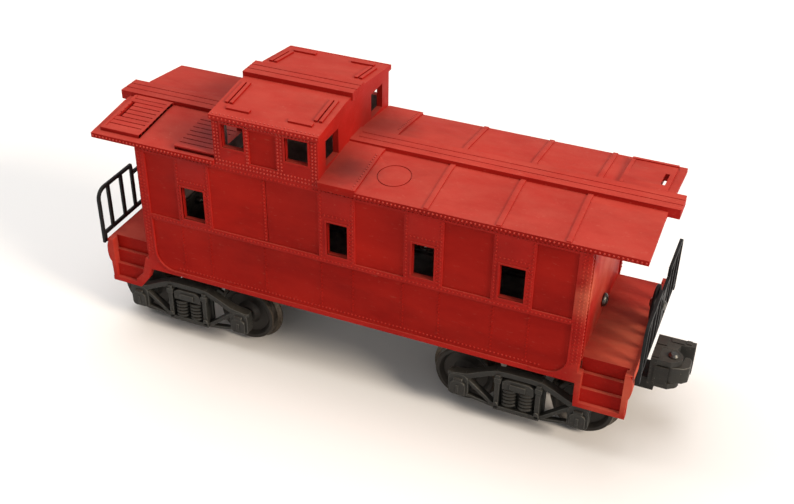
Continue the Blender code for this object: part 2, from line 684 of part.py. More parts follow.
def add_screw_hole(work, end):
    """A cutter for the body screw's clearance hole in one end wall and the tab behind it."""
    low, high = ordered(end * (HALF_LENGTH - 15.0), end * (HALF_LENGTH + 15.0))
    radius = SCREW_SHANK_RADIUS + GAP
    turned(work, [(low, radius), (high, radius)], "X", (0.0, 0.0, SCREW_Z), SHAFT_SEGMENTS)


def underframe(root, look):
    """The stamped floor with an upturned tab at each end, drilled for the screws and the truck studs."""
    half_x = HALF_LENGTH - WALL - GAP
    half_y = HALF_WIDTH - WALL - GAP
    floor = bmesh.new()
    block(floor, (-half_x, half_x), (-half_y, half_y), (FRAME_BOTTOM, FRAME_TOP))
    made = piece("underframe", floor, root, look)
    tabs = bmesh.new()
    for end in (-1, 1):
        tab_x = ordered(end * (TAB_FACE - FRAME_THICKNESS), end * TAB_FACE)
        tab_y = (-FRAME_TAB_WIDTH / 2, FRAME_TAB_WIDTH / 2)
        block(tabs, tab_x, tab_y, (FRAME_TOP - 0.5, FRAME_BOTTOM + FRAME_TAB_HEIGHT))
    shaped(made, tabs, "UNION")
    rib_in, rib_out = HALF_WIDTH - FRAME_RIB[1], HALF_WIDTH - FRAME_RIB[0]
    ribs = each_side(
        lambda work, side: block(
            work,
            (0.8 - half_x, half_x - 0.8),
            ordered(side * rib_in, side * rib_out),
            (FRAME_TOP - 0.4, FRAME_TOP + 1.0),
        )
    )
    shaped(made, ribs, "UNION")
    holes = bmesh.new()
    for end in (-1, 1):
        add_screw_hole(holes, end)
    for truck_x in (FRONT_TRUCK_X, REAR_TRUCK_X):
        radius = PIVOT_RADIUS + GAP
        turned(holes, [(20.0, radius), (35.0, radius)], "Z", (truck_x, 0.0, 0.0), 16)
    shaped(made, holes, "DIFFERENCE")


def body_screw(name, root, look, end):
    """A domed screw through an end wall into the underframe's tab."""
    shank = SCREW_SHANK_RADIUS
    head = SCREW_HEAD_RADIUS
    seat = HALF_LENGTH + GAP
    profile = [(TAB_FACE - FRAME_THICKNESS - 2.4, shank * 0.7), (TAB_FACE - FRAME_THICKNESS - 1.8, shank)]
    profile += [(seat, shank), (seat, head)]
    for degrees in (25, 50, 72):
        angle = math.radians(degrees)
        profile.append((seat + SCREW_HEAD_HEIGHT * math.sin(angle), head * math.cos(angle)))
    work = bmesh.new()
    turned(work, [(end * along, radius) for along, radius in profile], "X", (0.0, 0.0, SCREW_Z), 16)
    piece(name, work, root, look, smooth=True)


def lamp(root, looks):
    """The cabin lamp: bracket, socket shell, bulb base, glass and the insulated contact with its solder tag."""
    foot_z = FRAME_TOP + GAP
    socket_back = LAMP_X
    half = LAMP_BRACKET_WIDTH / 2
    sheet = LAMP_BRACKET_SHEET
    bracket = bmesh.new()
    block(bracket, (socket_back - sheet, socket_back), (-half, half), (foot_z, LAMP_Z + half + sheet))
    made = piece("lamp_bracket", bracket, root, looks["steel"])
    foot = bmesh.new()
    block(foot, (socket_back - LAMP_FOOT_LENGTH, socket_back), (-half, half), (foot_z, foot_z + sheet))
    shaped(made, foot, "UNION")
    hole = bmesh.new()
    turned(hole, [(socket_back - PAST, 3.0), (socket_back + PAST, 3.0)], "X", (0.0, 0.0, LAMP_Z), 16)
    shaped(made, hole, "DIFFERENCE")

    start = socket_back - sheet - GAP
    lip = SOCKET_RADIUS
    bore = BULB_BASE_RADIUS + GAP
    socket = bmesh.new()
    profile = [(start, lip), (start, 2.4), (start - 2.0, 2.4), (start - 2.0, bore)]
    profile += [(start - SOCKET_LENGTH, bore), (start - SOCKET_LENGTH, lip)]
    turned(socket, profile, "X", (0.0, 0.0, LAMP_Z), 20, bored=True)
    piece("lamp_socket", socket, root, looks["brass"], smooth=True)

    cap_end = start - 2.0 - GAP
    base = bmesh.new()
    profile = [(cap_end, 1.2), (cap_end - 0.8, 2.6), (cap_end - 1.0, BULB_BASE_RADIUS)]
    profile += [(start - SOCKET_LENGTH - 1.2, BULB_BASE_RADIUS), (start - SOCKET_LENGTH - 1.6, 3.0)]
    turned(base, profile, "X", (0.0, 0.0, LAMP_Z), 20)
    piece("lamp_base", base, root, looks["brass"], smooth=True)

    neck = start - SOCKET_LENGTH - 1.6 - GAP
    glass = bmesh.new()
    profile = [(neck, 2.8), (neck - 1.6, 3.4)]
    middle = neck - 2.6 - BULB_RADIUS * 0.8
    for degrees in (40, 65, 90, 115, 140, 165):
        angle = math.radians(degrees)
        profile.append((middle + BULB_RADIUS * math.cos(angle), BULB_RADIUS * math.sin(angle)))
    turned(glass, profile, "X", (0.0, 0.0, LAMP_Z), 20)
    piece("lamp_glass", glass, root, looks["glass"], smooth=True)

    contact = bmesh.new()
    tag_face = socket_back + 0.9
    profile = [(start - 1.7, 1.0), (start - 1.7, CONTACT_RADIUS), (tag_face, CONTACT_RADIUS)]
    profile += [(tag_face, 0.8), (tag_face + 2.5, 0.8)]
    turned(contact, profile, "X", (0.0, 0.0, LAMP_Z), SHAFT_SEGMENTS)
    piece("lamp_contact", contact, root, looks["brass"], smooth=True)


# ---------------------------------------------------------------- trucks


def side_frame(name, truck, look, side):
    """A cast side frame: arched top bar, spring box, tie bar and two journal boxes with blind axle sockets."""
    inner = SIDE_FRAME_INNER
    outer = inner + SIDE_FRAME_THICKNESS
    axle_x = WHEELBASE / 2
    tip = axle_x + 4.2
    tie = SPRING_BOX_BOTTOM
    upper = [(-tip, AXLE_Z + 3.4), (-tip, AXLE_Z + 0.4)]
    upper += [(1.2 - tip, AXLE_Z - 3.2), (2.6 - axle_x, AXLE_Z - 3.6)]
    upper += [(-8.0, tie), (8.0, tie), (axle_x - 2.6, AXLE_Z - 3.6)]
    upper += [(tip - 1.2, AXLE_Z - 3.2), (tip, AXLE_Z + 0.4), (tip, AXLE_Z + 3.4)]
    upper += [(axle_x - 3.8, AXLE_Z + 4.6), (9.2, 21.4), (5.6, 22.2), (-5.6, 22.2), (-9.2, 21.4)]
    upper += [(3.8 - axle_x, AXLE_Z + 4.6)]
    work = bmesh.new()
    prism(work, [(up, across) for across, up in upper], "Y", ordered(side * inner, side * outer))
    made = piece(name, work, truck, look)

    proud = ordered(side * (inner + 0.4), side * (outer + JOURNAL_DEPTH))
    boxes = bmesh.new()
    for end in (-1, 1):
        middle = end * axle_x
        half = JOURNAL_WIDTH / 2
        ring = [(middle - half, AXLE_Z - 3.6), (middle + half, AXLE_Z - 3.6), (middle + half, AXLE_Z + 1.6)]
        ring += [(middle + half * 0.6, AXLE_Z + 4.2), (middle - half * 0.6, AXLE_Z + 4.2)]
        ring.append((middle - half, AXLE_Z + 1.6))
        prism(boxes, [(up, across) for across, up in ring], "Y", proud)
    half = SPRING_BOX_WIDTH / 2
    block(boxes, (-half, half), proud, (SPRING_BOX_BOTTOM - 0.4, SPRING_BOX_BOTTOM + SPRING_BOX_HEIGHT))
    shaped(made, boxes, "UNION")

    through = ordered(side * (inner - 2.0), side * (outer + 4.0))
    windows = bmesh.new()
    for end in (-1, 1):
        ring = [(7.4, 9.2), (7.4, 19.2), (9.0, 18.8)]
        ring += [(axle_x - 4.8, AXLE_Z + 2.2), (axle_x - 5.0, AXLE_Z - 0.4)]
        prism(windows, [(up, end * across) for across, up in ring], "Y", through)
    shaped(made, windows, "DIFFERENCE")

    sockets = bmesh.new()
    depth = ordered(side * (inner - 2.0), side * (inner + 2.2 + GAP))
    radius = AXLE_RADIUS + GAP
    for end in (-1, 1):
        turned(sockets, [(depth[0], radius), (depth[1], radius)], "Y", (end * axle_x, 0.0, AXLE_Z), 16)
    shaped(made, sockets, "DIFFERENCE")


def bolster(name, truck, look):
    """The cross member that joins the side frames, with the pivot boss on top."""
    half_y = SIDE_FRAME_INNER - GAP
    half_x = BOLSTER_LENGTH / 2
    work = bmesh.new()
    block(work, (-half_x, half_x), (-half_y, half_y), (BOLSTER_BOTTOM, BOLSTER_TOP))
    made = piece(name, work, truck, look)
    boss = bmesh.new()
    profile = [(BOLSTER_TOP - 1.0, 7.0), (BOLSTER_TOP + 1.2, PIVOT_BOSS_RADIUS), (SILL_Z, PIVOT_BOSS_RADIUS)]
    turned(boss, profile, "Z", (0.0, 0.0, 0.0), 24)
    shaped(made, boss, "UNION")
    hole = bmesh.new()
    radius = PIVOT_RADIUS + RUN_GAP
    turned(hole, [(5.0, radius), (40.0, radius)], "Z", (0.0, 0.0, 0.0), 16)
    shaped(made, hole, "DIFFERENCE")


def pivot(prefix, root, look, truck_x):
    """The stud riveted through the underframe, and the clip under the bolster that keeps the truck on."""
    top = FRAME_TOP + GAP
    clip_top = BOLSTER_BOTTOM - GAP
    stud = bmesh.new()
    tip = clip_top - CLIP_THICKNESS - 1.2
    profile = [(tip, PIVOT_RADIUS * 0.8), (tip + 0.6, PIVOT_RADIUS)]
    profile += [(top, PIVOT_RADIUS), (top, PIVOT_RADIUS + 1.6), (top + 0.9, PIVOT_RADIUS + 0.8)]
    turned(stud, profile, "Z", (truck_x, 0.0, 0.0), 16)
    piece(f"{prefix}_pivot_stud", stud, root, look, smooth=True)
    clip = bmesh.new()
    inner = PIVOT_RADIUS + GAP
    low = clip_top - CLIP_THICKNESS
    profile = [(low, inner), (low, CLIP_RADIUS), (clip_top, CLIP_RADIUS), (clip_top, inner)]
    turned(clip, profile, "Z", (truck_x, 0.0, 0.0), 20, bored=True)
    piece(f"{prefix}_pivot_clip", clip, root, look)


def wheelset(prefix, truck, looks, end):
    """A fixed axle and the two flanged wheels that spin on it."""
    axle_x = end * WHEELBASE / 2
    place = "outer" if end > 0 else "inner"
    reach = SIDE_FRAME_INNER + 2.2
    shaft = bmesh.new()
    profile = [(-reach, 0.8), (0.5 - reach, AXLE_RADIUS), (reach - 0.5, AXLE_RADIUS), (reach, 0.8)]
    turned(shaft, profile, "Y", (axle_x, 0.0, AXLE_Z), SHAFT_SEGMENTS)
    piece(f"{prefix}_{place}_axle", shaft, truck, looks["steel"], smooth=True)
    bore = AXLE_RADIUS + RUN_GAP
    for side, hand in ((-1, "right"), (1, "left")):
        hub_face = WHEEL_BACK + WHEEL_WIDTH
        profile = [
            (WHEEL_BACK, bore),
            (WHEEL_BACK, 10.6),
            (WHEEL_BACK + 0.4, FLANGE_RADIUS),
            (WHEEL_BACK + FLANGE_WIDTH - 0.3, FLANGE_RADIUS - 0.3),
            (WHEEL_BACK + FLANGE_WIDTH + 0.3, TREAD_RADIUS),
            (hub_face, TREAD_RADIUS - 0.2),
            (hub_face, TREAD_RADIUS - 1.9),
            (hub_face - 1.5, TREAD_RADIUS - 2.5),
            (hub_face - 1.5, 4.2),
            (hub_face - 0.2, 3.2),
            (hub_face - 0.2, bore),
        ]
        axis = empty(f"{prefix}_{place}_{hand}_wheel_axis", (axle_x, 0.0, AXLE_Z), truck)
        wheel = bmesh.new()
        turned(wheel, [(side * along, radius) for along, radius in profile], "Y", (0.0, 0.0, 0.0), bored=True)
        piece(f"{prefix}_{place}_{hand}_wheel", wheel, axis, looks["wheel"], smooth=True)


def truck(prefix, root, looks, truck_x, turn):
    """A four-wheel truck on its own swivel empty."""
    pivot(prefix, root, looks["steel"], truck_x)
    swivel = empty(f"{prefix}_swivel", (truck_x, 0.0, 0.0), root, turn)
    bolster(f"{prefix}_bolster", swivel, looks["casting"])
    side_frame(f"{prefix}_side_frame_right", swivel, looks["casting"], -1)
    side_frame(f"{prefix}_side_frame_left", swivel, looks["casting"], 1)
    for end in (-1, 1):
        wheelset(prefix, swivel, looks, end)
    return swivel


# ---------------------------------------------------------------- coupler


def coupler(swivel, looks):
    """The cast coupler arm and head, the knuckle on its pin, and the armature plate that lets it open."""
    head_in = COUPLER_REACH - COUPLER_HEAD_LENGTH
    low = COUPLER_HEAD_BOTTOM
    high = low + COUPLER_HEAD_HEIGHT
    half = COUPLER_HEAD_WIDTH / 2
    shank_top = BOLSTER_BOTTOM - GAP
    shank_high = AXLE_Z + AXLE_RADIUS + 0.4
    arm = bmesh.new()
    outline = [(4.9, shank_high), (4.9, shank_top), (BOLSTER_LENGTH / 2 + 1.0, shank_top)]
    root_top = shank_high + 4.6
    outline += [(BOLSTER_LENGTH / 2 + 2.5, root_top), (head_in + 2.0, root_top), (head_in + 2.0, shank_high)]
    prism(arm, [(up, across) for across, up in outline], "Y", (-SHANK_WIDTH / 2, SHANK_WIDTH / 2))
    made = piece("coupler_head", arm, swivel, looks["casting"])
    pin = (COUPLER_REACH - 5.6, 0.6 - half + KNUCKLE_OUTER_RADIUS)
    pocket_x = pin[0] - KNUCKLE_OUTER_RADIUS - 1.0
    block_outline = [(head_in, -half), (pocket_x, -half), (pocket_x, 0.4), (pin[0] + 0.4, 0.4)]
    block_outline += [(pin[0] + 1.2, half * 0.52), (COUPLER_REACH, half * 0.62)]
    block_outline += [(COUPLER_REACH, half), (head_in, half)]
    block_work = bmesh.new()
    prism(block_work, block_outline, "Z", (low, high))
    shaped(made, block_work, "UNION")
    ears = bmesh.new()
    ear = KNUCKLE_EAR
    ear_ring = [(head_in + 0.2, 0.8), (head_in + 0.2, 0.2 - half), (pin[0], 0.2 - half)]
    ear_ring += arc(pin, KNUCKLE_OUTER_RADIUS - 0.2, -70, 60, 6) + [(pin[0] + 0.5, 0.8)]
    prism(ears, ear_ring, "Z", (low + 0.1, low + ear))
    prism(ears, ear_ring, "Z", (high - ear, high - 0.1))
    shaped(made, ears, "UNION")
    hole = bmesh.new()
    radius = KNUCKLE_PIN_RADIUS + GAP
    turned(hole, [(low - PAST, radius), (high + PAST, radius)], "Z", (*pin, 0.0), SHAFT_SEGMENTS)
    shaped(made, hole, "DIFFERENCE")

    knuckle_axis = empty("knuckle_axis", (*pin, 0.0), swivel)
    inner_low = low + ear + GAP
    inner_high = high - ear - GAP
    hook = arc((0.0, 0.0), KNUCKLE_OUTER_RADIUS, 180, 300, 8)
    face = COUPLER_REACH - pin[0]
    hook += [(face - 1.6, -2.2), (face, -0.6), (face, 3.0), (face - 1.0, 4.2), (face - 2.4, 4.0)]
    hook += [(face - 2.6, 1.6), (1.6, 2.3), (-1.2, 2.3), (-2.9, 1.2)]
    jaw = bmesh.new()
    prism(jaw, hook, "Z", (inner_low, inner_high))
    knuckle = piece("knuckle", jaw, knuckle_axis, looks["casting"])
    bore = bmesh.new()
    radius = KNUCKLE_PIN_RADIUS + RUN_GAP
    turned(bore, [(low - PAST, radius), (high + PAST, radius)], "Z", (0.0, 0.0, 0.0), SHAFT_SEGMENTS)
    shaped(knuckle, bore, "DIFFERENCE")
    rivet = bmesh.new()
    profile = [(low - GAP - 0.6, 1.0), (low - GAP, 1.7), (low - GAP, KNUCKLE_PIN_RADIUS)]
    profile += [(high + GAP, KNUCKLE_PIN_RADIUS), (high + GAP, 1.7), (high + GAP + 0.6, 1.0)]
    turned(rivet, profile, "Z", (*pin, 0.0), SHAFT_SEGMENTS)
    piece("knuckle_pin", rivet, swivel, looks["steel"], smooth=True)

    hinge_x = WHEELBASE / 2 + AXLE_RADIUS + ARMATURE_HINGE_SETBACK
    hinge_z = ARMATURE_HINGE_HEIGHT
    lug_half = ARMATURE_LUG_WIDTH / 2
    pin_radius = ARMATURE_PIN_RADIUS
    ears = each_side(
        lambda work, side: block(
            work,
            (hinge_x - 1.3, hinge_x + 1.3),
            ordered(side * (lug_half + GAP), side * (lug_half + GAP + 1.0)),
            (hinge_z - 1.3, shank_high + 0.5),
        )
    )
    shaped(made, ears, "UNION")
    holes = bmesh.new()
    across = [(-half, pin_radius + GAP), (half, pin_radius + GAP)]
    turned(holes, across, "Y", (hinge_x, 0.0, hinge_z), SHAFT_SEGMENTS)
    shaped(made, holes, "DIFFERENCE")
    armature_axis = empty("armature_axis", (hinge_x, 0.0, hinge_z), swivel)
    plate = bmesh.new()
    thick = ARMATURE_THICKNESS
    tail = BOLSTER_LENGTH / 2 + 2.0 - hinge_x
    half_plate = ARMATURE_WIDTH / 2
    plate_z = ARMATURE_HEIGHT - hinge_z
    block(plate, (tail, 3.0), (-half_plate, half_plate), (plate_z, plate_z + thick))
    armature = piece("armature_plate", plate, armature_axis, looks["steel"])
    lug = bmesh.new()
    block(lug, (-1.2, 1.2), (-lug_half, lug_half), (plate_z + thick / 2, 1.2))
    shaped(armature, lug, "UNION")
    bore = bmesh.new()
    across = [(-half, pin_radius + RUN_GAP), (half, pin_radius + RUN_GAP)]
    turned(bore, across, "Y", (0.0, 0.0, 0.0), SHAFT_SEGMENTS)
    shaped(armature, bore, "DIFFERENCE")
    rod = bmesh.new()
    end = lug_half + 1.0 + 2 * GAP
    profile = [(-end - 0.5, 0.7), (-end, 1.2), (-end, pin_radius)]
    profile += [(end, pin_radius), (end, 1.2), (end + 0.5, 0.7)]
    turned(rod, profile, "Y", (hinge_x, 0.0, hinge_z), SHAFT_SEGMENTS)
    piece("armature_pin", rod, swivel, looks["steel"], smooth=True)


# ---------------------------------------------------------------- pickup


def pickup(swivel, looks):
    """The insulated plate under the rear truck, and the sprung arm that carries the contact roller."""
    plate_top = BOLSTER_BOTTOM - 2 * GAP - CLIP_THICKNESS - 1.4
    plate_low = plate_top - PICKUP_PLATE_THICKNESS
    half = PICKUP_PLATE_WIDTH / 2
    plate = bmesh.new()
    block(plate, (-PICKUP_PLATE_LENGTH / 2, PICKUP_PLATE_LENGTH / 2), (-half, half), (plate_low, plate_top))
    made = piece("pickup_plate", plate, swivel, looks["fibre"])
    posts = each_side(
        lambda work, end: block(
            work,
            ordered(end * 4.9, end * 5.9),
            (0.4 - half, half - 0.4),
            (plate_top - 0.4, BOLSTER_BOTTOM - GAP),
        )
    )
    shaped(made, posts, "UNION")
    ears = each_side(
        lambda work, side: block(
            work,
            (PICKUP_HINGE_X - 1.3, PICKUP_HINGE_X + 1.3),
            ordered(side * 4.2, side * 5.4),
            (plate_low - 2.6, plate_low + 0.4),
        )
    )
    shaped(made, ears, "UNION")

    arm_x = PICKUP_HINGE_X
    arm_z = plate_low - PICKUP_HINGE_DROP
    rod_radius = PICKUP_ROD_RADIUS
    ear_holes = bmesh.new()
    past_y = half + PAST
    profile = [(-past_y, rod_radius + RUN_GAP), (past_y, rod_radius + RUN_GAP)]
    turned(ear_holes, profile, "Y", (arm_x, 0.0, arm_z), SHAFT_SEGMENTS)
    shaped(made, ear_holes, "DIFFERENCE")
    roller_z = ROLLER_BOTTOM + ROLLER_RADIUS
    arm_axis = empty("pickup_arm_axis", (arm_x, 0.0, arm_z), swivel)
    roller_x = -PICKUP_ARM_LENGTH
    drop = roller_z - arm_z
    half_arm = PICKUP_ARM_WIDTH / 2
    strips = each_side(
        lambda work, side: prism(
            work,
            [
                (-1.2, 1.3),
                (1.2, 1.3),
                (1.2, -1.3),
                (drop + 1.4, roller_x - 1.4),
                (drop - 1.4, roller_x - 1.4),
                (drop - 1.4, roller_x + 1.4),
            ],
            "Y",
            ordered(side * half_arm, side * (half_arm - PICKUP_STRIP)),
        )
    )
    arm = piece("pickup_arm", strips, arm_axis, looks["steel"])
    bridge = bmesh.new()
    bridge_z = (drop * 0.5 - 0.6, drop * 0.5 + 0.6)
    block(bridge, (-7.8, -4.6), (-half_arm + 0.4, half_arm - 0.4), bridge_z)
    shaped(arm, bridge, "UNION")
    rod = bmesh.new()
    rod_ends = [(0.3 - half_arm, rod_radius), (half_arm - 0.3, rod_radius)]
    turned(rod, rod_ends, "Y", (0.0, 0.0, 0.0), SHAFT_SEGMENTS)
    shaped(arm, rod, "UNION")
    holes = bmesh.new()
    radius = ROLLER_PIN_RADIUS + GAP
    turned(holes, [(-past_y, radius), (past_y, radius)], "Y", (roller_x, 0.0, drop), SHAFT_SEGMENTS)
    shaped(arm, holes, "DIFFERENCE")

    pin = bmesh.new()
    reach = half_arm + GAP
    profile = [(-reach - 0.6, 0.9), (-reach, 1.4), (-reach, ROLLER_PIN_RADIUS)]
    profile += [(reach, ROLLER_PIN_RADIUS), (reach, 1.4), (reach + 0.6, 0.9)]
    turned(pin, profile, "Y", (roller_x, 0.0, drop), SHAFT_SEGMENTS)
    piece("pickup_roller_pin", pin, arm_axis, looks["steel"], smooth=True)
    roller_axis = empty("pickup_roller_axis", (roller_x, 0.0, drop), arm_axis)
    half_roller = ROLLER_LENGTH / 2
    bore = ROLLER_PIN_RADIUS + RUN_GAP
    profile = [(-half_roller, bore), (-half_roller, ROLLER_RADIUS - 0.3), (0.3 - half_roller, ROLLER_RADIUS)]
    profile += [(half_roller - 0.3, ROLLER_RADIUS), (half_roller, ROLLER_RADIUS - 0.3), (half_roller, bore)]
    roller = bmesh.new()
    turned(roller, profile, "Y", (0.0, 0.0, 0.0), 20, bored=True)
    piece("pickup_roller", roller, roller_axis, looks["brass"], smooth=True)


def main():
    clear_scene()
    looks = {
        "body": finish("moulded_red", (0.32, 0.024, 0.018), 0.5),
        "rail": finish("blackened_steel", (0.018, 0.02, 0.022), 0.42, 0.6),
        "steel": finish("dull_steel", (0.2, 0.2, 0.2), 0.4, 1.0),
        "casting": finish("blackened_die_casting", (0.045, 0.05, 0.052), 0.6, 0.3),
        "wheel": finish("blackened_wheel", (0.06, 0.058, 0.055), 0.45, 0.7),
        "brass": finish("dull_brass", (0.45, 0.33, 0.14), 0.35, 1.0),
        "glass": finish("lamp_glass", (0.9, 0.88, 0.8), 0.1),
        "fibre": finish("fibre_board", (0.12, 0.06, 0.03), 0.7),
    }
    root = empty("car", (ORIGIN_X, 0.0, 0.0))
    body_shell(root, looks["body"])
    underframe(root, looks["steel"])
    body_screw("coupler_end_screw", root, looks["steel"], 1)
    body_screw("plain_end_screw", root, looks["steel"], -1)
    railing("coupler_end_railing", root, looks["rail"], 1)
    railing("plain_end_railing", root, looks["rail"], -1)
    brake_wheel(root, looks["rail"])
    lamp(root, looks)
    front = truck("front_truck", root, looks, FRONT_TRUCK_X, 0.0)
    rear = truck("rear_truck", root, looks, REAR_TRUCK_X, math.pi)
    coupler(front, looks)
    pickup(rear, looks)


main()
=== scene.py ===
"""Looks of a model railway caboose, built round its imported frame.

Sizes are millimetres in the car frame: +X to the coupler end, +Y to the car's left, +Z up, with Z = 0 at the
bottom of the wheel flanges and X = 0 at the middle of the body. A truck's own frame has its origin below its
pivot and +X to its end of the car.
"""

import logging
import math
from collections.abc import Callable, Iterable, Sequence
from dataclasses import dataclass, field
from enum import Enum

import bmesh
import bpy
from mathutils import Matrix, Vector


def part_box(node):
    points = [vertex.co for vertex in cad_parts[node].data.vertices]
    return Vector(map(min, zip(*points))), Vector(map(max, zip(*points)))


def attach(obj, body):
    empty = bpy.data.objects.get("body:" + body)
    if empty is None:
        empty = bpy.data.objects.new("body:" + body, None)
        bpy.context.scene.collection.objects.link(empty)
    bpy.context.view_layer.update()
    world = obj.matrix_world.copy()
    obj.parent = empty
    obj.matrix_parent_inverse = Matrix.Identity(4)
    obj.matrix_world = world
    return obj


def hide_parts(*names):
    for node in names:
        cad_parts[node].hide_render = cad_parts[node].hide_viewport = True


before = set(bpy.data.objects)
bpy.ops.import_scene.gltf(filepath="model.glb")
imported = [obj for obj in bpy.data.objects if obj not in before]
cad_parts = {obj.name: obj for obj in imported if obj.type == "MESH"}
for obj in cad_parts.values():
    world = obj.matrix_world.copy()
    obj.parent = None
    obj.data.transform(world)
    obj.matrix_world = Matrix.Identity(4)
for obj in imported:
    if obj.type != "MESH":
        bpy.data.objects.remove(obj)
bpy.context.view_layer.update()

MM = 0.001
LOG = logging.getLogger("caboose")
Span = tuple[float, float]
Point = tuple[float, float, float]
# Each axis's number after the numbers of the two across it, in cyclic order.
AXES = {"X": (1, 2, 0), "Y": (2, 0, 1), "Z": (0, 1, 2)}


class Slot(Enum):
    """The record's material slots."""

    BODY = "body_red"
    RAIL = "black_steel"
    STEEL = "steel"
    CASTING = "casting"
    WHEEL = "wheel"
    BRASS = "brass"
    GLASS = "lamp_glass"
    FIBRE = "fibre"


# ---------------------------------------------------------------- finishes


def linear(code: str) -> tuple[float, float, float, float]:
    """The linear RGBA of an sRGB hex colour.

    Args:
        code: the colour as #rrggbb.

    Returns:
        Linear red, green and blue, and an alpha of one.
    """
    shades = []
    for place in (1, 3, 5):
        value = int(code[place : place + 2], 16) / 255
        shades.append(value / 12.92 if value <= 0.04045 else ((value + 0.055) / 1.055) ** 2.4)
    return (shades[0], shades[1], shades[2], 1.0)


def add_node(
    tree: bpy.types.NodeTree,
    kind: str,
    settings: dict | None = None,
    values: dict | None = None,
    links: dict | None = None,
) -> bpy.types.Node:
    """Adds a shader node.

    Args:
        tree: the node tree.
        kind: the node's type.
        settings: its attributes by name.
        values: its unlinked inputs by name or place.
        links: its linked inputs by name or place, each with the output that feeds it.

    Returns:
        The new node.
    """
    node = tree.nodes.new(kind)
    for name, value in (settings or {}).items():
        setattr(node, name, value)
    for key, value in (values or {}).items():
        node.inputs[key].default_value = value
    for key, source in (links or {}).items():
        tree.links.new(source, node.inputs[key])
    return node


@dataclass(frozen=True)
class StainAndLight:
    """A soft-edged patch of another colour round a place in the car frame, in mm; dirt, painted shade,
    painted light.
    """

    place: Point
    radius: float
    strength: float
    colour: str = "#3a1714"


@dataclass(frozen=True)
class Layer:
    """A cloudy layer over a colour.

    It runs from its least to its most amount while its noise runs between two limits. Size is in millimetres.
    """

    colour: str
    size: float
    limits: Span
    amounts: Span
    detail: float = 6.0
    roughness: float = 0.7
    settles: bool = False


